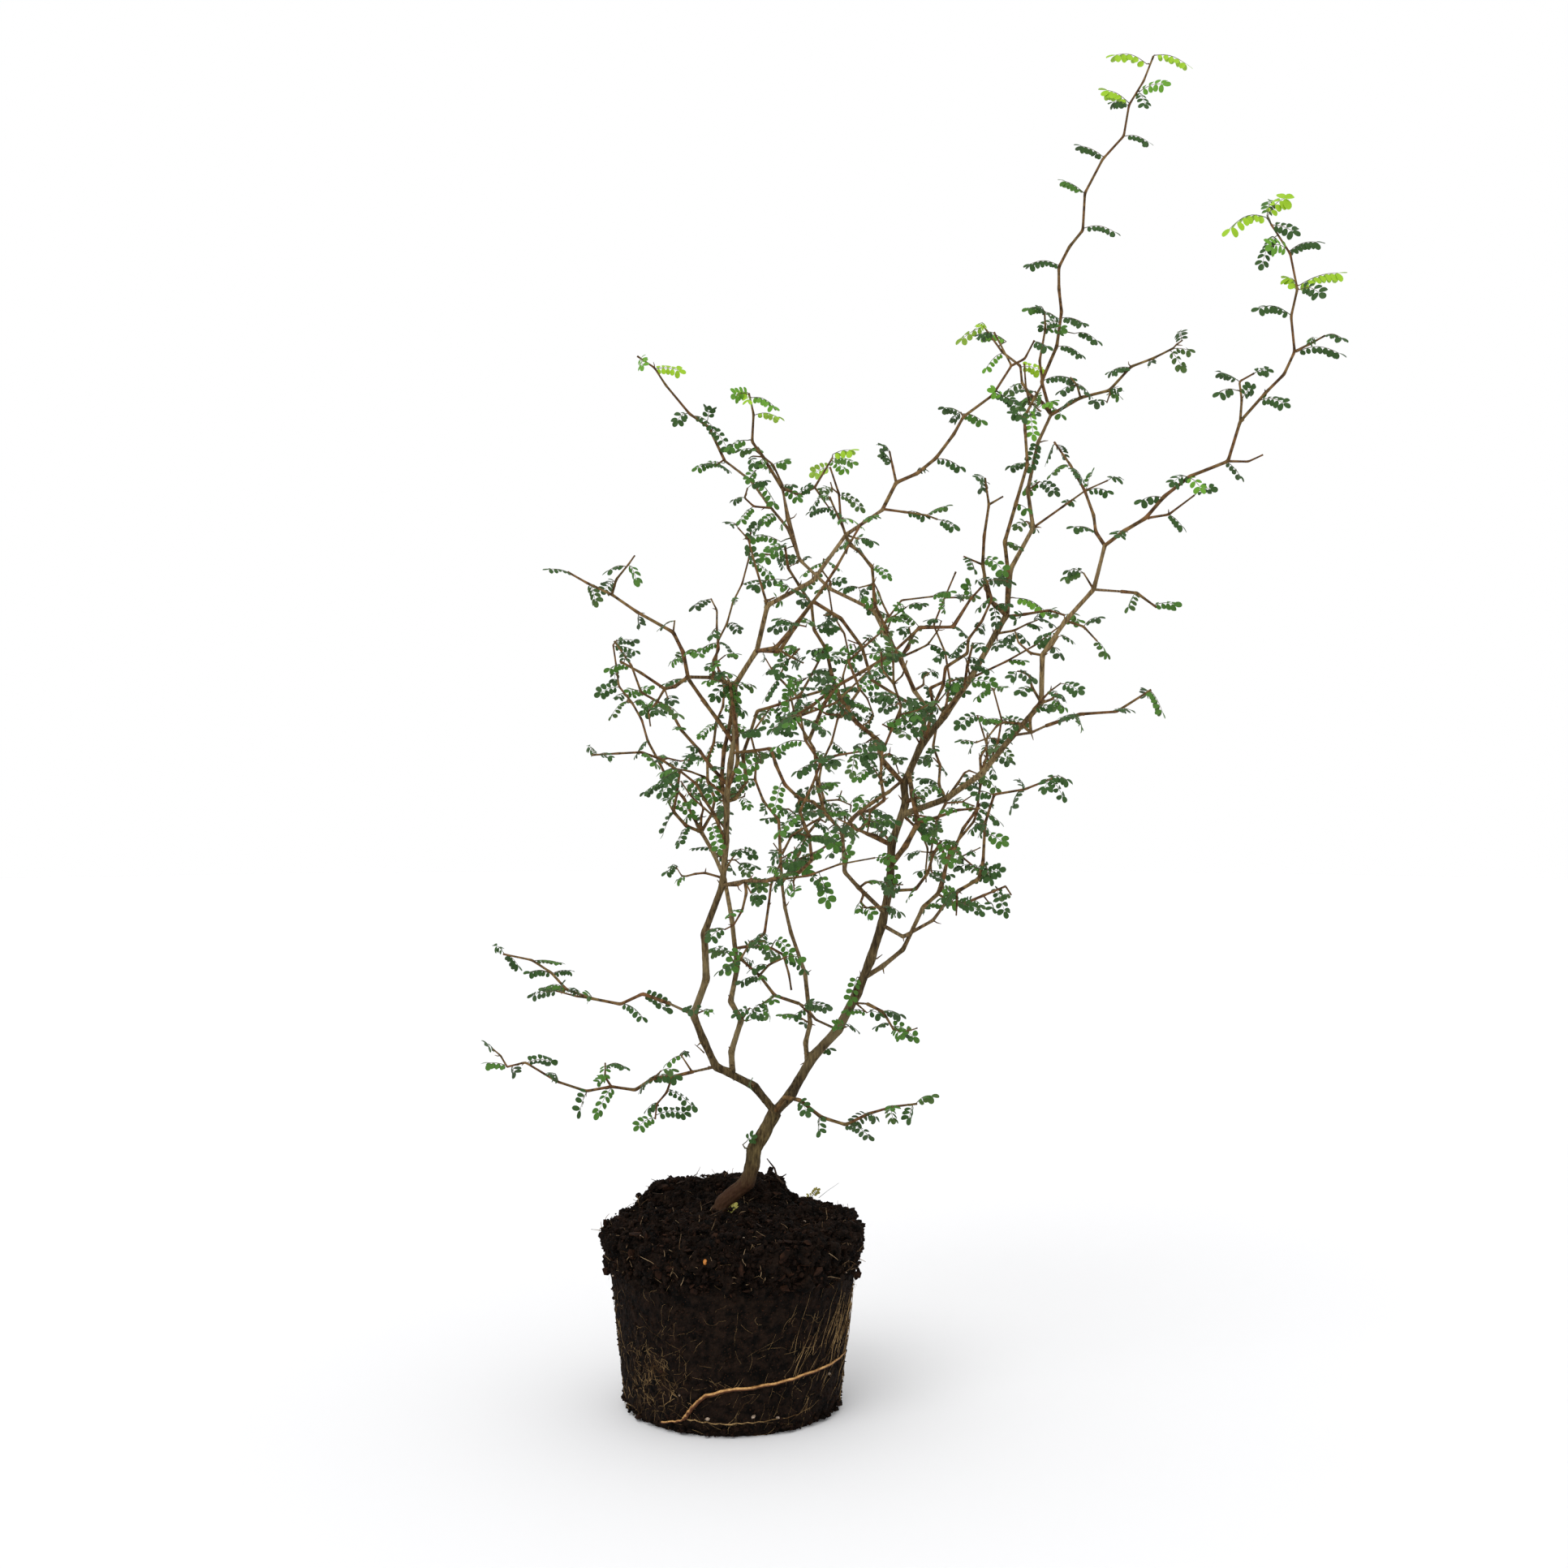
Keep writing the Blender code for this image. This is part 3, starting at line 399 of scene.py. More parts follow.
# Flakes that stand on edge in the collar: the axis and angle they are stood up by, how much they
# may tilt, and each one's bearing, height, how far out it sits, and size.
STOOD_FLAKES = (
    ("X", 75.0, 0.2, ((4.5, 101.5, 2.4, 10.0), (24.0, 108.0, 2.6, 9.0), (-33.0, 99.0, 2.2, 6.5),
                      (41.0, 95.0, 2.2, 7.0))),
    ("Y", 80.0, 0.15, ((-82, 89, 2.6, 6.0), (-80, 84, 2.2, 6.5), (-86, 95, 2.4, 5.0),
                       (84, 80, 2.0, 6.0), (88, 77, 1.8, 4.0), (80, 98, 2.6, 5.5))),
)
crumb_places = []
chip_places = []
rng = random.Random("crumbs")
for number in range(CRUMBS):
    size = 0.9 + 3.0 * rng.random() ** 3
    part = rng.random()
    if part < RIM_SHARE:
        height = BAND_HEIGHT - 2.0 + 23.0 * rng.random()
        spot = on_side(rng.uniform(*ALL_ROUND), height, rng.uniform(0.4, 1.9) + 0.25 * size)
    elif part < RIM_SHARE + TOP_SHARE:
        spot = somewhere_on_top(rng, RIM_RADIUS + 1.0, rng.uniform(0.8, 2.6))
    else:
        size *= 0.65
        spot = on_side(rng.uniform(*ALL_ROUND), 1.0 + 86.0 * rng.random(), rng.uniform(0.0, 0.6))
    if rng.random() < CRUMB_SHARE:
        crumb_places.append((rng.randrange(SHAPES_EACH), set_down(spot, size, rng)))
    else:
        chip_places.append((rng.randrange(SHAPES_EACH), set_down(spot, size * 1.35, rng)))
for number in range(FLAKES):
    size = rng.uniform(3.5, 8.0)
    if rng.random() < 0.5:
        height = BAND_HEIGHT + 18.0 * rng.random()
        spot = on_side(rng.uniform(*ALL_ROUND), height, rng.uniform(0.6, 1.6))
    else:
        spot = somewhere_on_top(rng, RIM_RADIUS - 3.0, rng.uniform(0.8, 1.8))
    chip_places.append((rng.randrange(SHAPES_EACH), set_down(spot, size, rng)))
for axis, angle, tilt, flakes in STOOD_FLAKES:
    stood = Matrix.Rotation(math.radians(angle), 4, axis)
    for bearing, height, out, size in flakes:
        flake = set_down(on_side(bearing, height, out), size, rng, tilt)
        chip_places.append((rng.randrange(SHAPES_EACH), flake @ stood))
for number in range(FOOT_CRUMBS):
    size = 1.4 + 3.4 * rng.random() ** 2
    bearing = rng.uniform(*ALL_ROUND)
    height = 0.45 * size + 0.4 + 5.0 * rng.random() ** 2
    spot = on_side(bearing, height, rng.uniform(-1.2, 0.7))
    crumb_places.append((rng.randrange(SHAPES_EACH), set_down(spot, size, rng, 0.3)))
crumb_finish = earthy("peat_crumbs", (0.0030, 0.0020, 0.0016), (0.0190, 0.0095, 0.0058),
                      (0.0360, 0.0150, 0.0080), 150.0, 0.92, 0.3)
chip_finish = earthy("bark_chips", (0.0085, 0.0042, 0.0027), (0.0330, 0.0145, 0.0080),
                     (0.0070, 0.0035, 0.0022), 220.0, 0.85, 0.3)
for title, name, flat, grains, finish in (
        ("crumb", "root_ball_crumbs", 0.8, crumb_places, crumb_finish),
        ("chip", "root_ball_bark_chips", 0.30, chip_places, chip_finish)):
    shapes = [lump_shape("%s_%d" % (title, n), 1, flat, 0.6, "%s %d" % (title, n))
              for n in range(SHAPES_EACH)]
    piece(name, sown(name, shapes, grains), [], finish, smooth=False)


# ---- Roots on the root ball ---------------------------------------------------------------------
# Living roots that had reached the pot's wall and turned along it: one thick tan root that winds
# up round the lower front, a thinner one below it, and hundreds of straw-coloured hairs, nearly
# upright in places and curled together in others.  Fine fibres curl out of the collar.


def tubes(name, runs, corners):
    """Round limbs, one for each path and its radii, as one mesh from a bevelled curve."""
    curve = bpy.data.curves.new(name, "CURVE")
    curve.dimensions = "3D"
    curve.bevel_depth = MM
    curve.bevel_resolution = corners
    curve.use_fill_caps = True
    for path, radii in runs:
        line = curve.splines.new("POLY")
        line.points.add(len(path) - 1)
        flat = []
        for point in path:
            flat.extend((point[0] * MM, point[1] * MM, point[2] * MM, 1.0))
        line.points.foreach_set("co", flat)
        line.points.foreach_set("radius", radii)
    mesh = evaluated(name, curve)
    bpy.data.curves.remove(curve)
    work = bmesh.new()
    work.from_mesh(mesh)
    bmesh.ops.remove_doubles(work, verts=work.verts[:], dist=0.000002)
    bmesh.ops.recalc_face_normals(work, faces=work.faces[:])
    work.to_mesh(mesh)
    work.free()
    return mesh


def rounded(path, pace):
    """A path with its corners just eased and a point about every pace millimetres."""
    soft = [path[0]]
    for before, here, after in zip(path, path[1:], path[2:]):
        reach = min(1.3, 0.16 * min((here - before).length, (after - here).length))
        inward = here + (before - here).normalized() * reach
        onward = here + (after - here).normalized() * reach
        soft += [inward, inward * 0.25 + here * 0.5 + onward * 0.25, onward]
    soft.append(path[-1])
    fine = [soft[0]]
    for near, far in zip(soft, soft[1:]):
        steps = max(1, int((far - near).length / pace + 0.5))
        fine += [near + (far - near) * (step / steps) for step in range(1, steps + 1)]
    return fine


def tapering(first, loss, path):
    """Radii for a path: a first radius that loses an amount over its length."""
    return [first - loss * step / len(path) for step in range(len(path))]


def marked(mesh, name, values):
    """Give every point of a mesh a value that its finish reads."""
    mesh.attributes.new(name, "FLOAT", "POINT").data.foreach_set("value", values)


def round_the_side(course, per_leg, wander, out):
    """A path that lies on the cake's side, through (bearing, height) stops."""
    path = []
    for (b0, h0), (b1, h1) in zip(course, course[1:]):
        for step in range(per_leg):
            share = step / per_leg
            sway = wander * math.sin(9.0 * share + b0)
            path.append(on_side(b0 + (b1 - b0) * share, h0 + (h1 - h0) * share + sway, out))
    path.append(on_side(*course[-1], out))
    return path


PALE_ROOT_COURSE = ((-37, 5), (-30, 7), (-25, 8.5), (-22.5, 11), (-20, 15.3), (-15.5, 21.5),
                    (-11.5, 25.2), (-0.5, 29.2), (11, 30.2), (27.5, 32), (40.5, 33.7), (53, 34.1),
                    (67, 34.9), (78, 35))
PALE_ROOT_RADIUS = 1.35
PALE_ROOT_TIP_RADIUS = 0.75
PALE_ROOT_OUT = 0.75
PALE_ROOT_PACE = 0.7
THIN_START = (0.14, 0.55)
root_path = rounded(round_the_side(PALE_ROOT_COURSE, 3, 0.3, PALE_ROOT_OUT), PALE_ROOT_PACE)
radii = []
for index, point in enumerate(root_path):
    share = index / (len(root_path) - 1)
    width = PALE_ROOT_RADIUS + (PALE_ROOT_TIP_RADIUS - PALE_ROOT_RADIUS) * share
    if share < THIN_START[0]:
        width *= THIN_START[1]
    width *= min(1.0, 4.0 * (1.0 - share) + 0.4)
    radii.append(width * (0.95 + 0.12 * noise.noise(point * 0.5) + 0.06 * math.sin(index * 0.9)))
pale = tubes("pale_root_living", [(root_path, radii)], 5)
pale_work = bmesh.new()
pale_work.from_mesh(pale)
upward = [vert.normal.z for vert in pale_work.verts]
places = [vert.co + vert.normal * (0.14 * MM * noise.noise(vert.co / MM * 1.5))
          for vert in pale_work.verts]
for vert, place in zip(pale_work.verts, places):
    vert.co = place
pale_work.to_mesh(pale)
pale_work.free()
marked(pale, "upward", upward)
pale_finish = earthy("pale_root_skin", (0.270, 0.125, 0.040), (0.66, 0.385, 0.145),
                     (0.100, 0.038, 0.012), 210.0, 0.62, 0.25, 0.2)
# Painted shade: the underside of the root, which faces down, is painted dark, and the top keeps its light
# tan.
painted_underside_shade = pale_finish.span(pale_finish.attribute("upward"), 0.42, -0.12)
pale_finish.paint(pale_finish.mix(painted_underside_shade, pale_finish.colour, (0.070, 0.022, 0.007)))
piece("pale_root_living", pale, ["pale_root"], pale_finish)

HAIR_STRIDE = 2.0
HAIR_HEIGHTS = (1.2, 104.0)
hairs = []


def root_hair(rng, bearing, height, length, climb, curl, radius, out=0.12, dip=0.38):
    """Walk one fine root over the ball's side, now under the crust and now over it."""
    path = []
    radii = []
    heading = climb
    phase = rng.uniform(0.0, 6.28)
    count = max(4, int(length / HAIR_STRIDE))
    for step in range(count + 1):
        path.append(on_side(bearing, height, out + dip * math.sin(step * 0.8 + phase)))
        taper = min(1.0, 0.5 + step * 0.3) * (1.0 - 0.65 * step / count)
        radii.append(max(0.04, radius * taper))
        heading += rng.gauss(0.0, curl)
        bearing += math.degrees(math.cos(heading) * HAIR_STRIDE / side_radius(height))
        height += math.sin(heading) * HAIR_STRIDE
        height = min(max(height, HAIR_HEIGHTS[0]), HAIR_HEIGHTS[1])
    hairs.append((path, radii))


# The comb of upright hairs on the right, strays across it, a tangle on the left, faint ones over
# the front, a full cover at the back and both sides, and curls all round the collar.
UPHILL = 1.15
DOWNHILL = UPHILL - math.pi
rng = random.Random("root hairs")
for number in range(44):
    root_hair(rng, rng.uniform(28.0, 84.0), rng.uniform(33.0, 52.0), rng.uniform(12.0, 42.0),
              UPHILL + rng.gauss(0.0, 0.16), 0.05, rng.uniform(0.10, 0.21), 0.85, 0.22)
for number in range(26):
    root_hair(rng, rng.gauss(60.0, 12.0), rng.uniform(16.0, 66.0), rng.uniform(10.0, 30.0),
              rng.choice((UPHILL, DOWNHILL)) + rng.gauss(0.0, 0.2), 0.07, rng.uniform(0.08, 0.16),
              0.5)
for number in range(90):
    root_hair(rng, rng.gauss(-44.0, 9.0), rng.uniform(14.0, 46.0), rng.uniform(8.0, 26.0),
              rng.uniform(0.0, 6.28), 0.45, rng.uniform(0.07, 0.14))
for number in range(120):
    root_hair(rng, rng.uniform(-60.0, 50.0), 4.0 + 62.0 * rng.random() ** 1.3, rng.uniform(6.0, 26.0),
              rng.choice((UPHILL, DOWNHILL, DOWNHILL, 0.4, 2.7)) + rng.gauss(0.0, 0.35), 0.14,
              rng.uniform(0.04, 0.08))
for number in range(320):
    root_hair(rng, rng.uniform(75.0, 290.0), 4.0 + 62.0 * rng.random(), rng.uniform(8.0, 34.0),
              rng.choice((UPHILL, DOWNHILL, 1.2, 0.3)) + rng.gauss(0.0, 0.3),
              rng.choice((0.08, 0.16, 0.42)), rng.uniform(0.07, 0.15))
for number in range(90):
    root_hair(rng, rng.uniform(*ALL_ROUND), rng.uniform(66.0, 103.0), rng.uniform(6.0, 18.0),
              rng.uniform(0.0, 6.28), 0.55, rng.uniform(0.04, 0.09), 2.1, 0.6)
LOWER_ROOT_COURSE = ((-22, 10), (-13.5, 9.3), (-5, 8.4), (6, 8.8), (17, 9.4), (34, 9.7), (44, 12.0))
lower_root = round_the_side(LOWER_ROOT_COURSE, 4, 0.5, 0.2)
hairs.append((lower_root, tapering(0.45, 0.32, lower_root)))


def any_way(rng, spread, rise=None):
    """A short step in any direction."""
    return Vector((rng.gauss(0, spread), rng.gauss(0, spread), rng.gauss(0, rise or spread)))


WHISKERS = 230
whiskers = []
for number in range(WHISKERS):
    start = on_side(rng.uniform(*ALL_ROUND), rng.uniform(88.0, 108.0), 2.0)
    if rng.random() < 0.5:
        start = somewhere_on_top(rng, RIM_RADIUS - 1.0)
    heading = Vector((start.x, start.y, 0.0)).normalized() * rng.uniform(0.2, 1.0)
    heading = heading + Vector((rng.gauss(0, 0.5), rng.gauss(0, 0.5), rng.uniform(0.1, 1.1)))
    heading = heading.normalized()
    path = [start]
    curl = any_way(rng, 0.35)
    for step in range(rng.randint(3, 9)):
        heading = (heading + curl + any_way(rng, 0.15)).normalized()
        path.append(path[-1] + heading * rng.uniform(0.7, 1.4))
    whiskers.append((path, tapering(0.27, 0.17, path)))
straw = earthy("straw_roots", (0.090, 0.050, 0.020), (0.460, 0.300, 0.135), (0.030, 0.016, 0.008),
               100.0, 0.7, 0.1)
piece("root_hairs", tubes("root_hairs", hairs, 0), [], straw)
fibre = earthy("peat_fibres", (0.070, 0.038, 0.018), (0.300, 0.210, 0.120), (0.030, 0.015, 0.008),
               100.0, 0.8, 0.1)
piece("rim_fibres", tubes("rim_fibres", whiskers, 0), [], fibre)


# ---- Grit and litter on the root ball -----------------------------------------------------------
# What lies on and in the compost: pale grit, one amber feed bead, bits of dry stalk, and a dead
# forked twig that stands on the mound.

GRIT = ((-11, 11.6, 3.4), (11.7, 13.0, 3.0), (24, 10.8, 2.4), (56.5, 29.0, 2.2), (21, 99.0, 1.7),
        (-62, 92.0, 1.5), (64, 88.0, 1.6), (118, 40.0, 2.2), (160, 12.0, 2.6), (205, 66.0, 1.6),
        (247, 22.0, 2.4), (290, 84.0, 1.8), (335, 24.0, 1.6))
TOP_GRIT = ((-53.5, -45.0, 1.8), (-30.0, 20.0, 1.4), (44.0, -22.0, 1.6), (8.0, -58.0, 1.5))
grit_shape = lump_shape("grit", 1, 0.75, 0.5, "grit")
rng = random.Random("grit")
grit_places = []
for bearing, height, size in GRIT:
    grit_places.append((0, set_down(on_side(bearing, height, 0.5 + 0.25 * size), size, rng, 0.3)))
for x, y, size in TOP_GRIT:
    grit_places.append((0, set_down(on_top(x, y, 1.6), size, rng, 0.3)))
grit_finish = earthy("pale_grit", (0.16, 0.11, 0.075), (0.42, 0.33, 0.25), (0.09, 0.06, 0.04),
                     420.0, 0.75, 0.2, 0.2)
piece("root_ball_grit", sown("root_ball_grit", [grit_shape], grit_places), [], grit_finish)

BEAD_RADIUS = 1.7
bead = bmesh.new()
bmesh.ops.create_icosphere(bead, subdivisions=3, radius=BEAD_RADIUS * MM)
bmesh.ops.scale(bead, verts=bead.verts[:], vec=(0.72, 0.72, 1.0))
bmesh.ops.translate(bead, verts=bead.verts[:], vec=on_side(-10.0, 105.5, 2.4) * MM)
amber = earthy("amber_bead", (0.30, 0.095, 0.012), (0.56, 0.21, 0.030), (0.12, 0.04, 0.008), 420.0,
               0.35, 0.1, 0.4)
piece("feed_bead", meshed(bead, "feed_bead"), [], amber)

DEAD_TWIG = ((31.0, 35.0, 126.0), (27.0, 35.0, 130.5), (25.5, 35.0, 136.0), (20.7, 33.0, 142.6))
DEAD_FORK = ((27.0, 35.0, 130.5), (30.5, 34.0, 131.0), (33.0, 34.5, 132.5))
LITTER = 26
LITTER_RADII = [0.35, 0.28, 0.15]
rng = random.Random("litter")
dead = [([Vector(p) for p in DEAD_TWIG], [0.95, 0.8, 0.65, 0.35]),
        ([Vector(p) for p in DEAD_FORK], [0.7, 0.5, 0.3])]
for number in range(LITTER):
    spot = somewhere_on_top(rng, 72.0, 1.6)
    turn = rng.uniform(0.0, math.tau)
    aim = Vector((math.cos(turn), math.sin(turn), rng.uniform(-0.1, 0.6)))
    length = rng.uniform(2.0, 5.0)
    bend = any_way(rng, 0.5, 0.4)
    dead.append(([spot, spot + aim * length, spot + aim * (2.0 * length) + bend], LITTER_RADII))
dead_finish = earthy("dead_twig", (0.022, 0.014, 0.010), (0.080, 0.050, 0.032), (0.010, 0.006, 0.004),
                     200.0, 0.85, 0.2, 0.15)
piece("dead_twigs", tubes("dead_twigs", dead, 1), [], dead_finish)


# ---- Trunk and boughs ---------------------------------------------------------------------------
# Living wood under thin bark: a trunk that leans out of the compost and forks low, and boughs that
# turn a little at each old leaf joint.  Every fork is grown together, each joint is a slight knuckle,
# and the bark is furrowed lengthwise, olive-brown on the old wood and redder where it is thin.

TRUNK_RADIUS = 4.5
TRUNK_TOP_RADIUS = 3.9
TRUNK_BENDS = ((-8, 0, 117), (-6, 0, 122.5), (0, 0, 127.5), (9, -1, 135), (12, -1, 145),
               (13, 0, 155), (18, 0, 163), (26, 0, 178))

# Boughs: name, what it grows from, radius at its foot and tip, and its bends (right, back, up).
BOUGHS = (
    ("left_bough", "trunk", 2.90, 1.40, ((13, -6, 195), (-10, -14, 208), (-23, -26, 241),
     (-15, -32, 263), (-16, -38, 291), (-5, -44, 320), (-2, -54, 373), (3, -62, 411), (3, -70, 437),
     (16, -76, 457))),
    ("low_left_bough", "left_bough", 1.00, 0.80, ((-10, -14, 207), (-24, -22, 206))),
    ("mid_left_bough", "left_bough", 1.05, 0.80, ((-22, -26, 241), (-38, -26, 248))),
    ("inner_left_bough", "left_bough", 1.65, 1.00, ((0, -10, 204), (-1, 2, 215), (5, 12, 233),
     (-2, 18, 244), (2, 28, 264), (-2, 42, 295), (-7, 56, 319), (-23, 74, 349))),
    ("left_front_bough", "left_bough", 1.00, 0.80, ((-5, -44, 321), (22, -74, 324))),
    ("left_side_bough", "left_bough", 1.05, 0.85, ((2, -70, 436), (-9, -80, 441), (-24, -86, 441))),
    ("crossing_bough", "left_bough", 1.35, 0.90, ((16, -76, 457), (22, -84, 482), (48, -84, 496),
     (67, -78, 523), (89, -70, 539))),
    ("right_bough", "trunk", 3.20, 1.75, ((35, 4, 187), (49, 10, 210), (65, 12, 227), (77, 10, 250),
     (92, 4, 293), (97, 2, 318), (98, 4, 343), (107, 8, 368), (106, 10, 380), (117, 14, 404),
     (132, 16, 423), (148, 16, 446), (164, 18, 474), (171, 18, 486))),
    ("centre_bough", "right_bough", 1.30, 0.90, ((46, 9, 207), (45, 20, 218), (48, 26, 229),
     (45, 40, 259), (36, 54, 284), (30, 70, 316))),
    ("centre_front_bough", "right_bough", 0.90, 0.75, ((62, 11, 226), (51, -10, 236), (40, -24, 248))),
    ("right_side_bough", "right_bough", 1.50, 1.00, ((80, 8, 259), (107, 34, 275), (121, 50, 301),
     (131, 56, 309), (138, 66, 330))),
    ("right_front_bough", "right_bough", 1.10, 0.80, ((90, 4, 290), (104, -14, 287), (121, -28, 298),
     (128, -36, 309))),
    ("low_shoot_bough", "right_bough", 0.80, 0.70, ((76, 10, 244), (83, -4, 245))),
    ("inner_front_bough", "right_bough", 1.25, 0.90, ((93, 3, 301), (77, -18, 317), (68, -28, 327),
     (66, -44, 352))),
    ("inner_back_bough", "right_bough", 1.20, 0.80, ((106, 10, 380), (93, 34, 397), (89, 46, 410),
     (72, 62, 425))),
    ("right_leader", "right_bough", 2.10, 1.20, ((105, 7, 361), (130, -16, 371), (150, -28, 386),
     (168, -38, 409), (184, -44, 428), (184, -48, 456), (197, -52, 476), (213, -56, 494),
     (219, -60, 520))),
    ("right_arm", "right_leader", 0.95, 0.75, ((167, -38, 408), (176, -58, 410), (184, -68, 414))),
    ("right_upper_arm", "right_leader", 0.90, 0.75, ((213, -56, 494), (232, -44, 494))),
    ("high_left_bough", "right_bough", 1.60, 0.90, ((117, 14, 404), (122, 38, 429), (115, 48, 440),
     (107, 60, 462), (90, 72, 494), (62, 84, 509), (42, 92, 529), (34, 98, 551), (9, 104, 584),
     (-9, 106, 598))),
    ("high_middle_bough", "high_left_bough", 1.00, 0.80, ((42, 92, 529), (35, 70, 553), (30, 62, 573))),
    ("high_back_bough", "high_left_bough", 1.00, 0.80, ((90, 72, 494), (91, 92, 513), (90, 100, 526))),
    ("top_bough", "right_bough", 1.70, 1.05, ((171, 18, 486), (174, 24, 515), (189, 30, 542),
     (186, 34, 566), (193, 38, 597), (202, 40, 616))),
)

BOUGH_PACE = 24.0
BOUGH_SWAY = 1.3
BOUGH_MEETS = 4.0
BARK_KNUCKLE = 0.16
BARK_PACE = 0.8
MAIN_VOXEL = 0.55
SIDE_VOXEL = 0.45
FURROW_DEPTH = 0.085
PIT_DEPTH = 0.055
BURIED_FOOT = Vector((-3.0, 0.0, -5.0))


def vec(point):
    """A table's point as a vector, still in millimetres."""
    return Vector((float(point[0]), float(point[1]), float(point[2])))


def squared(way, line):
    """A direction leant over until it is square to a line."""
    return (way - line * way.dot(line)).normalized()


def square_to(line, rng):
    """A unit direction square to a line, at a bearing the seed chooses."""
    guide = Vector((0.0, 0.0, 1.0))
    if abs(line.normalized().z) > 0.9:
        guide = Vector((1.0, 0.0, 0.0))
    first = line.cross(guide).normalized()
    return Matrix.Rotation(rng.uniform(0.0, math.tau), 3, line.normalized()) @ first


def zigzag(bends, pace, sway, rng):
    """Carry a limb through its bends with a small turn every pace millimetres."""
    path = [bends[0].copy()]
    side = 1.0
    for near, far in zip(bends, bends[1:]):
        leg = far - near
        steps = max(1, int(leg.length / pace + 0.5))
        across = square_to(leg, rng)
        for step in range(1, steps):
            drift = sway * side * rng.uniform(0.7, 1.2)
            path.append(near + leg * (step / steps) + across * drift)
            side = -side
        path.append(far.copy())
    return path


def grow_boughs():
    """Paths and radii of the trunk and the boughs, each from the joint of its carrier."""
    grown = {"trunk": ([vec(p) for p in TRUNK_BENDS], TRUNK_RADIUS, TRUNK_TOP_RADIUS)}
    for name, carrier, foot, tip, bends in BOUGHS:
        first = vec(bends[0])
        path = grown[carrier][0]
        start = min(path, key=lambda p: (p - first).length)
        skipped = 1 if (start - first).length < BOUGH_MEETS else 0
        course = [start] + [vec(p) for p in bends[skipped:]]
        grown[name] = (zigzag(course, BOUGH_PACE, BOUGH_SWAY, random.Random(name)), foot, tip)
    return grown


def along_shares(path):
    """How far along its length each point of a path lies, from 0 to 1."""
    lengths = [0.0]
    for near, far in zip(path, path[1:]):
        lengths.append(lengths[-1] + (far - near).length)
    return [length / lengths[-1] for length in lengths]


def woody_run(path, foot, tip, knuckle, pace=1.6):
    """A limb's eased path and radii: an even taper, fuller at every joint."""
    fine = rounded(path, pace)
    shares = along_shares(fine)
    radii = []
    for point, share in zip(fine, shares):
        near = min((point - joint).length for joint in path[1:])
        width = foot + (tip - foot) * share
        width *= 1.0 + knuckle * math.exp(-(near / (1.3 * foot + 0.6)) ** 2)
        radii.append(width)
    return fine, radii


# Limbs that are a little slimmer or fuller than an even taper would make them.
SHAPED = {"left_bough": (2.5, 1.5), "inner_left_bough": (1.95, 1.3), "centre_bough": (1.6, 1.1),
          "inner_front_bough": (1.5, 1.15), "inner_back_bough": (1.45, 1.0),
          "left_side_bough": (1.3, 1.0), "left_front_bough": (1.15, 0.95),
          "crossing_bough": (1.5, 1.05), "right_side_bough": (1.7, 1.2),
          "right_front_bough": (1.3, 1.0)}
limbs = grow_boughs()
MAIN_WOOD = ("trunk", "left_bough", "right_bough", "right_leader", "high_left_bough", "top_bough")
SIDE_WOOD = tuple(row[0] for row in BOUGHS if row[0] not in MAIN_WOOD)


def barked(name, members, voxel):
    """Several limbs grown together under one furrowed bark."""
    runs = []
    for member in members:
        path, foot, tip = limbs[member]
        foot, tip = SHAPED.get(member, (foot, tip))
        if member == "trunk":
            path = [path[0] + BURIED_FOOT] + path
        runs.append(woody_run(path, foot, tip, BARK_KNUCKLE, BARK_PACE))
    joined = tubes(name + "_core", runs, 3)
    work = bmesh.new()
    work.from_mesh(joined)
    bpy.data.meshes.remove(joined)
    mesh = skinned(work, name, voxel, 2)
    marks = []
    for fine, radii in runs:
        travel = 0.0
        for near, far, width in zip(fine, fine[1:], radii):
            marks.append((near, (far - near).normalized(), width, travel))
            travel += (far - near).length
    nearest = kdtree.KDTree(len(marks))
    for index, mark in enumerate(marks):
        nearest.insert(mark[0], index)
    nearest.balance()
    age = []
    places = [vert.co.copy() for vert in mesh.vertices]
    ways = [vert.normal.copy() for vert in mesh.vertices]
    for place, out in zip(places, ways):
        here = place / MM
        found = nearest.find_n(here, 4)
        index = min(found, key=lambda hit: hit[2] - marks[hit[1]][2])[1]
        core, way, width, travel = marks[index]
        spoke = here - core
        travel += spoke.dot(way)
        spoke = squared(spoke, way)
        furrow = noise.noise(spoke * (1.1 + 0.55 * width) + Vector((0.0, 0.0, travel * 0.045)))
        pit = noise.noise(spoke * 2.0 + Vector((0.0, 0.0, travel * 0.35)))
        place += out * (MM * width * (FURROW_DEPTH * furrow + PIT_DEPTH * pit))
        age.append(width)
    mesh.vertices.foreach_set("co", [value for place in places for value in place])
    marked(mesh, "thickness", age)
    mesh.update()
    return mesh


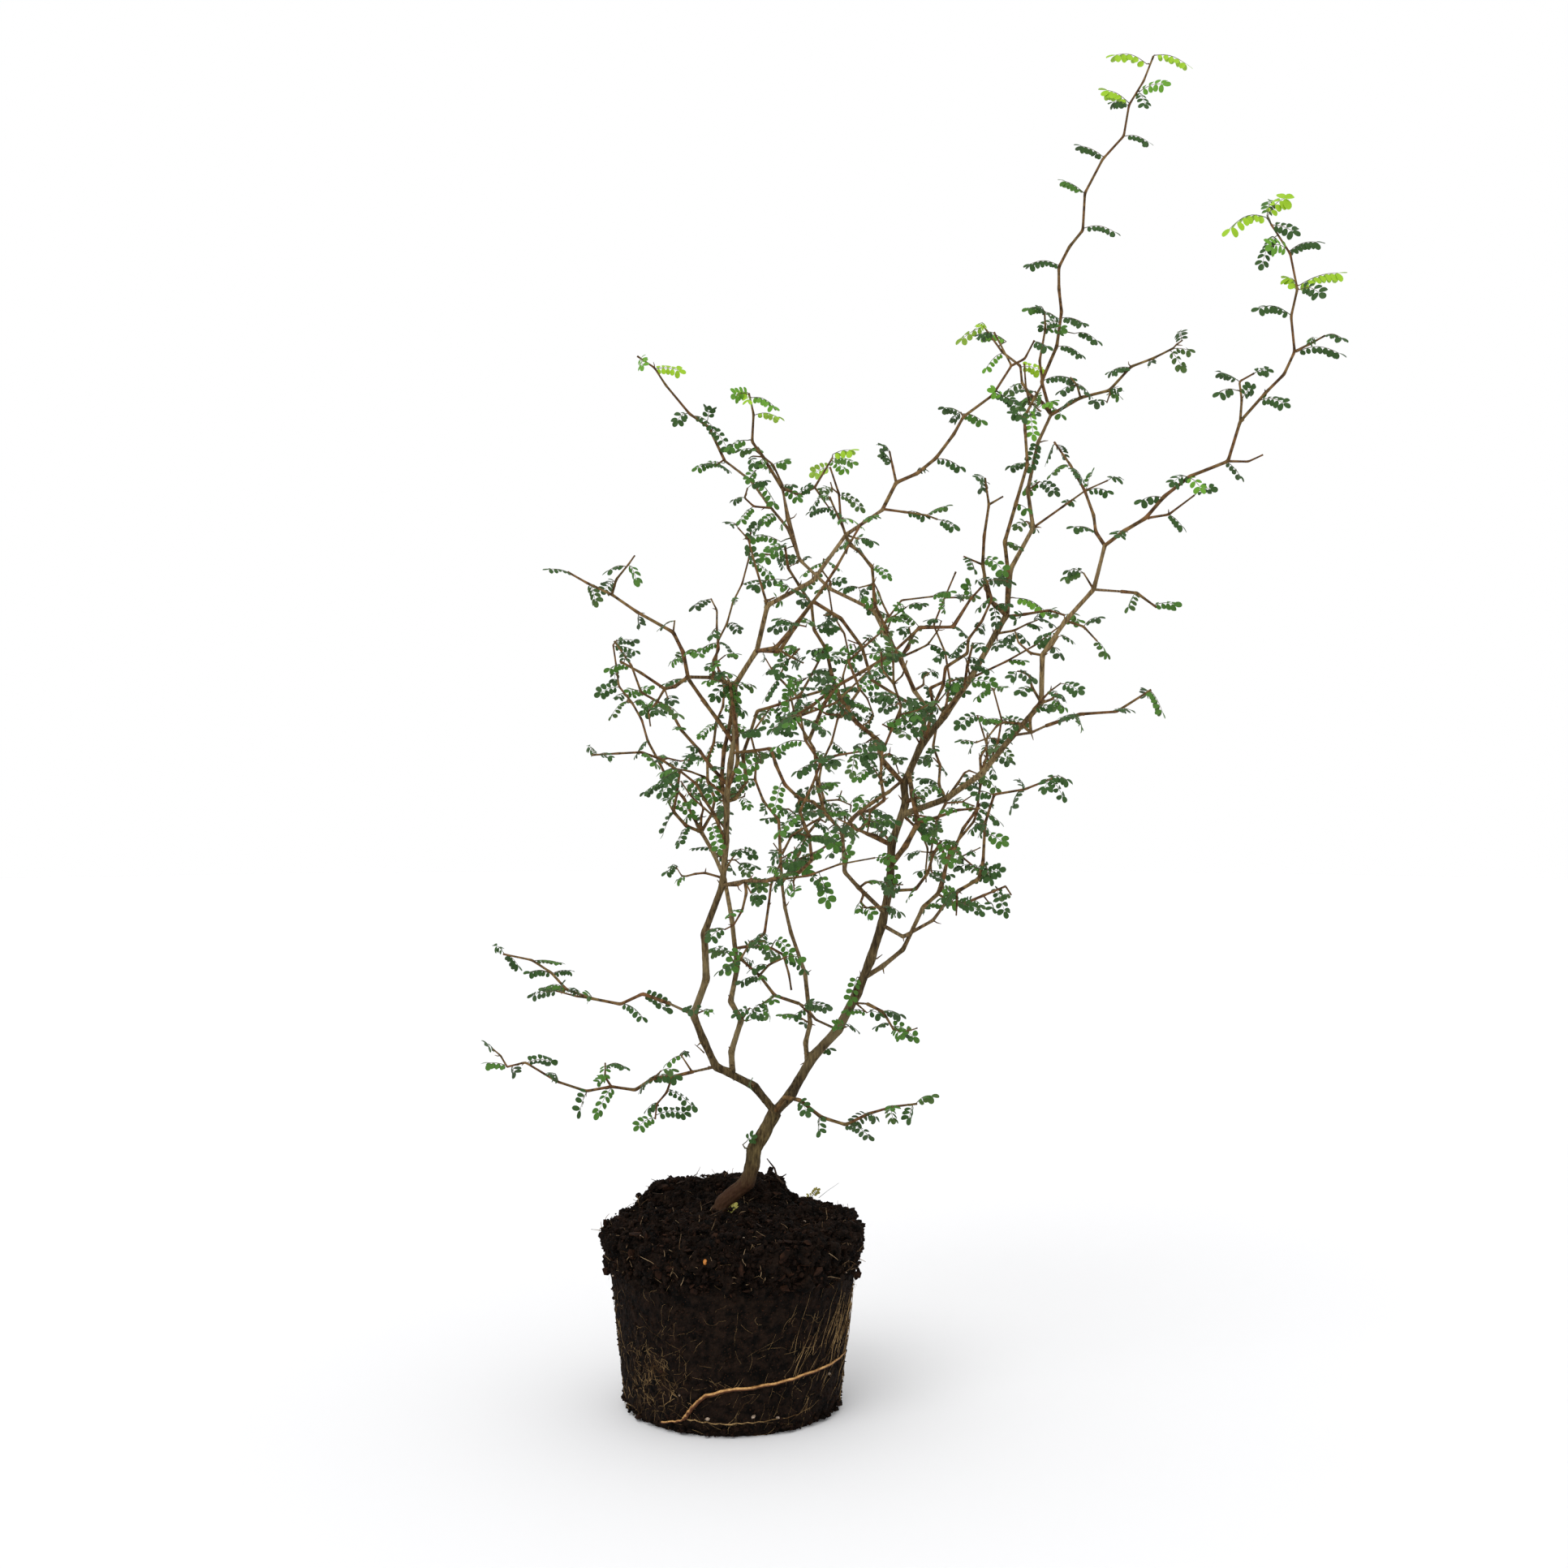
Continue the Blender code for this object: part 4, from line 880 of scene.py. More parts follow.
def bark_finish():
    """Furrowed bark: dark at the foot, olive on the old wood, tan and red-brown where it is thin, with
    painted light and shade: lighter high up, darker low down, and in random patches.
    """
    finish = Finish("zigzag_bark", 0.75, 0.1)
    thickness = finish.attribute("thickness")
    height = finish.add("SeparateXYZ", {"Vector": finish.place}).outputs["Z"]
    drawn_out = finish.add("Mapping", {"Vector": finish.place, "Scale": (1.0, 1.0, 0.16)})
    lines = finish.noise(900.0, 4.0, drawn_out.outputs["Vector"])
    patches = finish.noise(38.0, 4.0)
    ground = finish.ramp(finish.span(thickness, 0.8, 4.4),
                         (0.00, (0.130, 0.084, 0.045)), (0.22, (0.158, 0.116, 0.057)),
                         (0.55, (0.100, 0.074, 0.037)), (1.00, (0.110, 0.084, 0.038)))
    furrows = finish.ramp(lines, (0.33, (0.34, 0.29, 0.25)), (0.68, (1.70, 1.60, 1.42)))
    furrowed = finish.mix(1.0, ground, furrows, blend="MULTIPLY")
    # Random patches that make the bark lighter and darker: partly its own patchy tone, partly painted
    # light and shade.
    patchy_tone_and_painted_shade = finish.span(patches, 0.36, 0.66, 0.58, 1.30)
    # Painted light and shade: the bark is painted darker low on the shrub and lighter high up.
    painted_light_higher_up = finish.span(height, 0.20, 0.46, 0.78, 1.22)
    tone_and_painted_light = finish.add("Math", {0: patchy_tone_and_painted_shade, 1: painted_light_higher_up}, operation="MULTIPLY").outputs[0]
    patchy_with_painted_light = finish.mix(1.0, furrowed, tone_and_painted_light, blend="MULTIPLY")
    film = finish.mix(finish.span(patches, 0.48, 0.70, 0.0, 0.7), patchy_with_painted_light, (0.170, 0.135, 0.070))
    older = finish.mix(finish.span(thickness, 4.6, 3.2), patchy_with_painted_light, film)
    damp = finish.span(height, 0.150, 0.132, 0.0, 0.90)
    finish.paint(finish.mix(damp, older, (0.042, 0.017, 0.009)))
    finish.relief(lines, 0.8, 0.4)
    return finish


bark = bark_finish()
piece("main_wood", barked("main_wood", MAIN_WOOD, MAIN_VOXEL), list(MAIN_WOOD), bark)
piece("side_wood", barked("side_wood", SIDE_WOOD, SIDE_VOXEL), list(SIDE_WOOD), bark)


# ---- Stems and twigs ----------------------------------------------------------------------------
# Each foliage mass grows from its bough's tip: one zigzag stem that turns at every leaf joint, side
# twigs that fork from the turns, finer twigs again, and short leafy spurs on the boughs' old joints.
# The wood is thin and smooth, grey-brown to red-brown.

# Masses: name, the bough whose tip carries it, its reach round its own stem, how twiggy it is
# (side twigs for each leaf joint), how leafy its joints are, and its stem's bends.
SPRAYS = (
    ("low_left_spray", "low_left_bough", 32, 0.26, 0.13, ((-47, -34, 204), (-57, -40, 198),
     (-85, -50, 199), (-102, -52, 205), (-121, -50, 216), (-132, -48, 213))),
    ("mid_left_spray", "mid_left_bough", 34, 0.34, 0.14, ((-54, -20, 253), (-68, -14, 246),
     (-103, 4, 253), (-126, 16, 270), (-145, 24, 273))),
    ("low_right_spray", "trunk", 28, 0.17, 0.11, ((32, -12, 189), (41, -16, 188), (54, -18, 178),
     (69, -16, 173), (83, -12, 179), (113, -6, 184))),
    ("left_outer_spray", "inner_left_bough", 34, 0.30, 0.09, ((-35, 86, 371), (-52, 96, 395),
     (-64, 104, 423), (-80, 110, 446), (-84, 112, 474))),
    ("left_low_spray", "inner_left_bough", 34, 0.34, 0.11, ((-40, 58, 362), (-35, 40, 388),
     (-58, 24, 400), (-88, 10, 398))),
    ("left_back_spray", "inner_left_bough", 38, 0.30, 0.08, ((-15, 106, 370), (-21, 130, 397),
     (-11, 150, 434), (-15, 160, 480), (2, 165, 521), (8, 168, 560))),
    ("front_left_spray", "left_front_bough", 38, 0.34, 0.09, ((31, -90, 328), (47, -118, 338),
     (40, -140, 365), (51, -155, 391), (40, -162, 417))),
    ("left_high_spray", "left_side_bough", 34, 0.13, 0.07, ((-26, -84, 455), (-32, -80, 467),
     (-53, -74, 479), (-83, -62, 497), (-95, -58, 504))),
    ("left_side_spray", "left_side_bough", 30, 0.51, 0.11, ((-35, -110, 433), (-47, -124, 441),
     (-58, -130, 447))),
    ("left_centre_spray", "left_bough", 34, 0.34, 0.09, ((27, -96, 457), (38, -110, 469),
     (51, -122, 485), (60, -132, 498), (72, -136, 519))),
    ("crossing_spray", "crossing_bough", 30, 0.34, 0.08, ((97, -60, 556), (121, -50, 572),
     (132, -46, 587), (138, -42, 598), (156, -36, 612), (168, -30, 631), (158, -26, 652))),
    ("centre_high_spray", "centre_bough", 38, 0.38, 0.09, ((29, 84, 335), (28, 92, 356),
     (12, 104, 383), (9, 112, 413), (23, 118, 433))),
    ("centre_back_spray", "centre_bough", 38, 0.30, 0.08, ((42, 100, 334), (56, 130, 356),
     (58, 150, 395), (76, 160, 440), (74, 165, 486), (54, 170, 530))),
    ("low_centre_spray", "centre_front_bough", 34, 0.51, 0.11, ((26, -38, 254), (17, -48, 267),
     (6, -52, 277), (12, -60, 288))),
    ("right_high_spray", "right_side_bough", 38, 0.34, 0.09, ((143, 72, 337), (159, 84, 363),
     (168, 92, 394), (177, 98, 423), (172, 104, 444))),
    ("right_back_spray", "right_side_bough", 38, 0.30, 0.08, ((131, 96, 343), (142, 124, 367),
     (135, 146, 406), (148, 160, 452), (137, 166, 492), (153, 170, 530))),
    ("right_low_spray", "right_front_bough", 30, 0.26, 0.09, ((146, -52, 324), (148, -58, 335),
     (148, -68, 357), (152, -80, 374), (168, -92, 377), (182, -100, 383))),
    ("right_front_spray", "right_front_bough", 28, 0.42, 0.11, ((138, -24, 307), (153, -12, 312),
     (168, 0, 317))),
    ("inner_high_spray", "inner_front_bough", 36, 0.34, 0.09, ((55, -56, 364), (51, -64, 378),
     (49, -74, 400), (38, -84, 418), (34, -92, 435))),
    ("inner_front_spray", "inner_front_bough", 38, 0.34, 0.09, ((75, -74, 364), (88, -100, 371),
     (85, -124, 396), (95, -140, 422), (90, -150, 446))),
    ("inner_left_spray", "inner_back_bough", 36, 0.34, 0.09, ((60, 70, 442), (41, 84, 437),
     (28, 96, 451), (42, 104, 471))),
    ("inner_back_spray", "inner_back_bough", 36, 0.34, 0.09, ((82, 92, 443), (75, 112, 463),
     (97, 124, 483), (112, 130, 506), (134, 134, 509))),
    ("low_shoot_spray", "low_shoot_bough", 24, 0.26, 0.11, ((92, -12, 241), (98, -18, 231))),
    ("right_arm_spray", "right_arm", 30, 0.17, 0.07, ((201, -82, 420), (220, -92, 421), (238, -100, 433))),
    ("right_edge_spray", "right_upper_arm", 26, 0.17, 0.14, ((242, -36, 494), (255, -30, 486))),
    ("right_leader_spray", "right_leader", 34, 0.17, 0.05, ((241, -68, 534), (251, -72, 546),
     (265, -76, 557), (286, -80, 565), (292, -84, 587), (306, -86, 603), (322, -88, 626),
     (320, -88, 646), (323, -90, 661), (319, -90, 681), (308, -90, 698))),
    ("right_inner_spray", "right_leader", 30, 0.26, 0.07, ((215, -44, 539), (211, -36, 555),
     (204, -26, 572), (196, -14, 588))),
    ("high_left_spray", "high_left_bough", 28, 0.09, 0.09, ((-19, 106, 620), (-32, 106, 629),
     (-48, 104, 648), (-67, 102, 667))),
    ("high_middle_spray", "high_middle_bough", 30, 0.42, 0.11, ((18, 54, 591), (11, 50, 600),
     (12, 46, 617), (9, 44, 630))),
    ("high_inner_spray", "high_middle_bough", 28, 0.34, 0.13, ((42, 84, 571), (52, 96, 578),
     (64, 104, 599))),
    ("high_back_spray", "high_back_bough", 32, 0.42, 0.13, ((75, 112, 542), (70, 118, 560),
     (69, 124, 578), (63, 128, 597))),
    ("right_middle_spray", "right_bough", 32, 0.42, 0.11, ((157, -6, 493), (152, -18, 513),
     (152, -26, 529), (154, -34, 547), (151, -40, 562))),
    ("top_spray", "top_bough", 26, 0.00, 0.04, ((196, 42, 637), (206, 44, 660), (209, 44, 682),
     (207, 42, 710), (222, 40, 733), (223, 38, 756), (234, 36, 777), (247, 34, 791), (250, 32, 810),
     (265, 30, 840))),
    ("top_left_spray", "top_bough", 28, 0.42, 0.13, ((192, 62, 632), (187, 78, 655), (176, 86, 666),
     (164, 92, 685))),
    ("top_right_spray", "top_bough", 26, 0.17, 0.09, ((218, 24, 623), (234, 12, 625), (246, 4, 638),
     (270, -6, 647))),
)

STEM_PACE = 17.0
STEM_SWAY = 2.6
STEM_RADIUS = 0.80
STEM_TUCK = 0.8
TWIG_RADIUS = 0.62
TWIG_STEPS = (1, 3)
TWIG_STEP_LENGTH = (9.0, 13.0)
TWIG_TURN = (24.0, 42.0)
LEAF_LENGTH = (16.0, 24.0)
LEAF_SPREAD = 3.3
LEAF_ROOM = 4.6
TWIG_ROOM = 3.0
CLEARANCE = 0.55
LEAF_FOOT = 0.16
LEAF_ROLL = (-50.0, 50.0)
TWIG_SCALE = 0.92
STRAIGHT_ON = 0.12
THICKER_IS_LEAF = 2.0
FAR_AWAY = 1000.0
LEAF_TRIES = 5


class Space:
    """Every limb, twig and leaf placed so far, as short thick lines."""

    def __init__(self):
        self.starts = []
        self.ends = []
        self.radii = []
        self.owners = []
        self.arrays = None

    def add(self, start, end, radius, owner):
        """Take up the room of one thick line."""
        self.starts.append(start[:])
        self.ends.append(end[:])
        self.radii.append(radius)
        self.owners.append(owner)
        self.arrays = None

    def refresh(self):
        """All the lines as arrays, made anew after a line is added."""
        if self.arrays is None:
            starts = np.array(self.starts, dtype=float)
            ends = np.array(self.ends, dtype=float)
            radii = np.array(self.radii, dtype=float)
            owners = np.array(self.owners)
            self.arrays = (starts, ends, radii, owners)
        return self.arrays

    def add_path(self, path, radius, owner):
        """Take up the room of every leg of a path."""
        for near, far in zip(path, path[1:]):
            self.add(near, far, radius, owner)

    def room(self, start, end, radius, owner):
        """Least gap from a thick line to every other node."""
        starts, ends, radii, owners = self.refresh()
        distance = line_gaps(np.array(start[:]), np.array(end[:]), starts, ends) - radii - radius
        return distance[owners != owner].min()

    def crowding(self, start, end, owner, by_leaves):
        """Least distance from a line to its own node's leaves, or to its own wood."""
        starts, ends, radii, owners = self.refresh()
        mine = (owners == owner) & ((radii > THICKER_IS_LEAF) == by_leaves)
        if not mine.any():
            return FAR_AWAY
        return line_gaps(np.array(start[:]), np.array(end[:]), starts[mine], ends[mine]).min()


def line_gaps(start, end, starts, ends):
    """Shortest distance from one line to each of many others."""
    d1 = end - start
    d2 = ends - starts
    r = start - starts
    a = max(float(d1 @ d1), 1e-9)
    e = np.maximum((d2 * d2).sum(axis=1), 1e-9)
    f = (d2 * r).sum(axis=1)
    c = r @ d1
    b = d2 @ d1
    denom = a * e - b * b
    s = np.where(denom > 1e-9, (b * f - c * e) / np.maximum(denom, 1e-9), 0.0)
    s = np.clip(s, 0.0, 1.0)
    t = np.clip((b * s + f) / e, 0.0, 1.0)
    s = np.clip((b * t - c) / a, 0.0, 1.0)
    apart = (start + s[:, None] * d1) - (starts + t[:, None] * d2)
    return np.sqrt((apart * apart).sum(axis=1))


def within_reach(point, stem, reach):
    """Whether a point lies in a mass's own space, the stretch of air round its stem."""
    starts = np.array([p[:] for p in stem[:-1]])
    ends = np.array([p[:] for p in stem[1:]])
    here = np.array(point[:])
    return line_gaps(here, here + 1e-6, starts, ends).min() <= reach


def try_leaf(space, name, stem, reach, root, out, scale, rng):
    """Find a free place for one leaf at a joint; give it back, or nothing."""
    for attempt in range(LEAF_TRIES):
        swing = math.radians(rng.uniform(-65.0, 65.0) * (0.5 + 0.25 * attempt))
        spin = Matrix.Rotation(swing, 3, "Z")
        along = spin @ Vector((out.x, out.y, 0.0))
        if along.length < 0.2:
            along = Vector((math.cos(swing), math.sin(swing), 0.0))
        along = along.normalized()
        along.z = rng.uniform(-0.55, 0.45)
        along = along.normalized()
        length = rng.uniform(*LEAF_LENGTH) * scale
        roll = math.radians(rng.uniform(*LEAF_ROLL))
        tint = rng.random()
        end = root + along * length
        if not within_reach(end, stem, reach):
            continue
        near = root + along * (length * LEAF_FOOT)
        if space.room(near, end, LEAF_SPREAD, name) < CLEARANCE:
            continue
        middle = root + along * (length * 0.38)
        if space.crowding(middle, end, name, True) < LEAF_ROOM:
            continue
        if space.crowding(middle, end, name, False) < TWIG_ROOM:
            continue
        up = Vector((0.0, 0.0, 1.0))
        face = Matrix.Rotation(roll, 3, along) @ squared(up, along)
        space.add(near, end, LEAF_SPREAD, name)
        return (root.copy(), along, face, length, tint)
    return None


def joint(path, index, rng):
    """A joint's place, the ways in and on, its outer side, and whether the path ends there."""
    here = path[index]
    back = (here - path[index - 1]).normalized()
    last = index == len(path) - 1
    ahead = back if last else (path[index + 1] - here).normalized()
    out = back - ahead
    if out.length < STRAIGHT_ON:
        out = square_to(back, rng)
    return here, back, ahead, out.normalized(), last


def grow_spray(space, name, stem, reach, twiggy, leafy, rng):
    """Side twigs and leaves of one mass, by one rule: something at every turn of the stem."""
    twigs = []
    leaves = []
    joints = []
    side = 1.0
    for index in range(1, len(stem)):
        here, back, ahead, out, last = joint(stem, index, rng)
        joints.append((here, back, ahead, out, last, 1.0))
        if rng.random() < twiggy and not last:
            heading = Matrix.Rotation(math.radians(rng.uniform(-60.0, 60.0)), 3, ahead) @ out
            heading = (heading + ahead * rng.uniform(0.15, 0.7)).normalized()
            path = [here.copy()]
            turn_axis = square_to(heading, rng)
            for step in range(rng.randint(*TWIG_STEPS)):
                stride = rng.uniform(*TWIG_STEP_LENGTH)
                point = path[-1] + heading * stride
                if not within_reach(point, stem, reach - 6.0):
                    break
                start = path[-1] + heading * (2.5 if step == 0 else 0.0)
                if space.room(start, point, TWIG_RADIUS + 1.2, name) < CLEARANCE:
                    break
                lead = path[-1] + heading * (stride * 0.5)
                if space.crowding(lead, point, name, True) < LEAF_ROOM:
                    break
                if space.crowding(lead, point, name, False) < TWIG_ROOM:
                    break
                path.append(point)
                bend = math.radians(rng.uniform(*TWIG_TURN)) * side
                side = -side
                heading = (Matrix.Rotation(bend, 3, turn_axis) @ heading).normalized()
            if len(path) > 1:
                twigs.append(path)
                space.add_path(path, TWIG_RADIUS, name)
                joints += [(*joint(path, step, rng), TWIG_SCALE) for step in range(1, len(path))]
    for here, back, ahead, out, last, scale in joints:
        count = 1 + (rng.random() < leafy) + last
        for number in range(count):
            aim = out if number != 1 else -out
            if last and number == 0:
                aim = ahead
            root = here - back * (0.9 + 1.5 * number)
            leaf = try_leaf(space, name, stem, reach, root, aim, scale, rng)
            if leaf is not None:
                leaves.append(leaf)
    return twigs, leaves


def grow_masses():
    """Every mass's own stem, twigs and leaves, in the space the limbs leave."""
    space = Space()
    for name, (path, foot, tip) in limbs.items():
        count = len(path) - 1
        for index in range(count):
            space.add(path[index], path[index + 1], foot + (tip - foot) * (index / count), name)
    stems = {}
    for name, bough, reach, twiggy, leafy, bends in SPRAYS:
        path = limbs[bough][0]
        tuck = (path[-1] - path[-2]).normalized() * STEM_TUCK
        course = [path[-1] - tuck] + [vec(p) for p in bends]
        stems[name] = zigzag(course, STEM_PACE, STEM_SWAY, random.Random(name))
    for name, stem in stems.items():
        space.add_path(stem, STEM_RADIUS, name)
    grown = {}
    for name, bough, reach, twiggy, leafy, bends in SPRAYS:
        rng = random.Random("leaves of " + name)
        twigs, leaves = grow_spray(space, name, stems[name], reach, twiggy, leafy, rng)
        grown[name] = (stems[name], twigs, leaves)
    return grown, space


masses, space = grow_masses()
STEM_FOOT = (1.15, 1.5)
STEM_END = 0.62
TWIG_FOOT = 0.80
TWIG_END = 0.50
FINE_FOOT = 0.62
FINE_END = 0.42
FINE_SHARE = 0.30
FINE_SCALE = 0.85
FINE_LEAVES = 0.9
FINE_STEPS = 2
FINE_STRIDE = (5.0, 9.0)
FINE_TWIG_ROOM = 2.0
OLD_STEPS = 4
OLD_STRIDE = (6.0, 12.0)
FINE_RADIUS = 0.4
FINE_ROOM = 0.2
EXTRA_LENGTH = (13.0, 21.0)
TUFT_ROOM = 3.4
TUFT_TWIG_ROOM = 1.6
LOWEST_TUFT = 190.0
HEART = ((-25.0, 175.0), (322.0, 470.0))
HEART_EDGE = 26.0
HEART_LEAVES = 0.52
fine_twigs = []
leaf_seats = []


def in_heart(point):
    """How far inside the shrub's old, dense heart a point lies: 1 inside, 0 well outside."""
    (left, right), (low, high) = HEART
    outside = max(left - point.x, point.x - right, low - point.z, point.z - high, 0.0)
    return eased(1.0 - outside / HEART_EDGE)


def seat_leaf(name, root, along, face, length, share, tint):
    """Remember a leaf: whose it is, where, how long, and how near its stem's tip."""
    leaf_seats.append((name, root, along, face, length, share, tint))


def facing(along, rng):
    """The way a leaf's upper side looks: up and a little to one side, rolled about its rib."""
    up = Vector((rng.gauss(0.0, 0.45), rng.gauss(-0.30, 0.55), 1.0))
    roll = math.radians(rng.uniform(*LEAF_ROLL))
    return Matrix.Rotation(roll, 3, along) @ squared(up, along)


def extra_leaf(name, keep_in, root, out, scale, share, rng, room=TUFT_ROOM):
    """Try for one more leaf at a joint, closer to its neighbours than the first ones."""
    along = Vector((out.x, out.y, 0.0))
    if along.length < 0.2:
        return
    along = along.normalized()
    along.z = rng.uniform(-0.5, 0.4)
    along = along.normalized()
    length = rng.uniform(*EXTRA_LENGTH) * scale
    end = root + along * length
    if keep_in and not within_reach(end, *keep_in):
        return
    if space.room(root + along * (length * 0.25), end, 1.6, name) < FINE_ROOM:
        return
    middle = root + along * (length * 0.45)
    if space.crowding(middle, end, name, True) < room:
        return
    if space.crowding(middle, end, name, False) < TUFT_TWIG_ROOM:
        return
    space.add(root + along * (length * LEAF_FOOT), end, LEAF_SPREAD, name)
    seat_leaf(name, root, along, facing(along, rng), length, share, rng.random())


def side_twig(here, back, rng, lean, most, stride, turn, free, first=0.0):
    """A short twig that leaves a joint sideways and turns at each step, while the way is free."""
    heading = (square_to(back, rng) + back * rng.uniform(*lean)).normalized()
    path = [here.copy()]
    for step in range(rng.randint(1, most)):
        point = path[-1] + heading * (rng.uniform(*stride) + (first if step == 0 else 0.0))
        if not free(path[-1], heading, point):
            break
        path.append(point)
        heading = (heading + square_to(heading, rng) * turn).normalized()
    return path


def finer_growth(name, stem, reach, twigs, rng):
    """Carry a mass on: a finer twig at some joints, and more leaves in the shrub's heart."""
    def free(before, heading, point):
        """Whether a finer twig stays in the mass, off other limbs and off the mass's own wood."""
        if not within_reach(point, stem, reach - 3.0):
            return False
        if space.room(before + heading * 2.0, point, 1.0, name) < FINE_ROOM:
            return False
        return space.crowding(before + heading * 3.0, point, name, False) >= FINE_TWIG_ROOM

    lines = [(stem, 1.0)] + [(path, TWIG_SCALE) for path in twigs]
    for path, scale in list(lines):
        for index in range(1, len(path)):
            here = path[index]
            back = (here - path[index - 1]).normalized()
            if rng.random() < FINE_SHARE * (0.35 + 1.3 * in_heart(here)):
                spur = side_twig(here, back, rng, (0.2, 0.9), FINE_STEPS, FINE_STRIDE, 0.6, free)
                if len(spur) > 1:
                    space.add_path(spur, FINE_RADIUS, name)
                    fine_twigs.append((spur, FINE_FOOT, FINE_END))
                    lines.append((spur, FINE_SCALE))
    for path, scale in lines:
        shares = along_shares(path)
        for index in range(1, len(path)):
            here = path[index]
            back = (here - path[index - 1]).normalized()
            own = FINE_LEAVES if scale == FINE_SCALE else 0.0
            fuller = 1.0 - SPARSE.get(name, 0.0)
            for number in range(int(fuller * (HEART_LEAVES * in_heart(here) + own) + rng.random())):
                extra_leaf(name, (stem, reach + 2.0), here - back * 0.4, square_to(back, rng), scale,
                           shares[index], rng)


def kink_leaf(name, path, index, length, rng):
    """One leaf on the outer side of a shoot's turn, or ahead at its tip."""
    here = path[index]
    back = (here - path[index - 1]).normalized()
    if index + 1 < len(path):
        out = back - (path[index + 1] - here).normalized() + back * 0.25
    else:
        out = back + square_to(back, rng) * 0.35
    out.z = min(0.35, max(-0.35, out.z))
    along = Matrix.Rotation(math.radians(rng.uniform(-30.0, 30.0)), 3, "Z") @ out.normalized()
    space.add(here + along * (length * LEAF_FOOT), here + along * length, LEAF_SPREAD, name)
    share = index / (len(path) - 1)
    seat_leaf(name, here.copy(), along, facing(along, rng), length, share, rng.random())


# Single fine shoots: what carries each, and its turns (right, back, up) from there.
SHOOTS = (
    ("crossing_bough", (22, -84, 482), (15.3, -83, 504.2), (11.1, -82, 520), (5.1, -80, 526.9)),
    ("high_left_bough", (107, 60, 462), (118.5, 55, 481.6), (139.3, 48, 481.1), (150.7, 42, 498.7),
     (159.6, 38, 507.6)),
    ("inner_high_spray", (38, -84, 418), (61.5, -72, 426.9), (82.1, -62, 447.2)),
    ("right_leader_spray", (241, -68, 534), (253.2, -74, 535.3), (267.3, -78, 545.9)),
    ("right_leader_spray", (292, -84, 587), (293.4, -82, 600), (292.5, -80, 610.7),
     (301.4, -78, 615.8)),
    ("right_leader", (197, -52, 476), (208, -50, 472.8), (216.4, -48, 464.3)),
    ("top_bough", (189, 30, 542), (207.4, 26, 554.9), (221.1, 22, 564.5), (234.5, 20, 570.3)),
    ("right_bough", (148, 16, 446), (169.9, 12, 456.3), (186.8, 6, 465.9), (202.8, 2, 478.2)),
    ("left_front_bough", (22, -74, 324), (45.5, -76, 327.2), (63.3, -74, 333.7), (84.1, -70, 337.3)),
    ("crossing_spray", (97, -60, 556), (95.1, -58, 565.6), (93.3, -57, 574.8)),
    ("crossing_bough", (89, -70, 539), (101.7, -66, 537.9), (114.7, -62, 536.6), (121.1, -60, 534.5)),
    ("high_left_bough", (22.3, 76, 561.3), (11.7, 70, 561.4), (5.8, 66, 566.4), (7.8, 64, 572.5)),
)

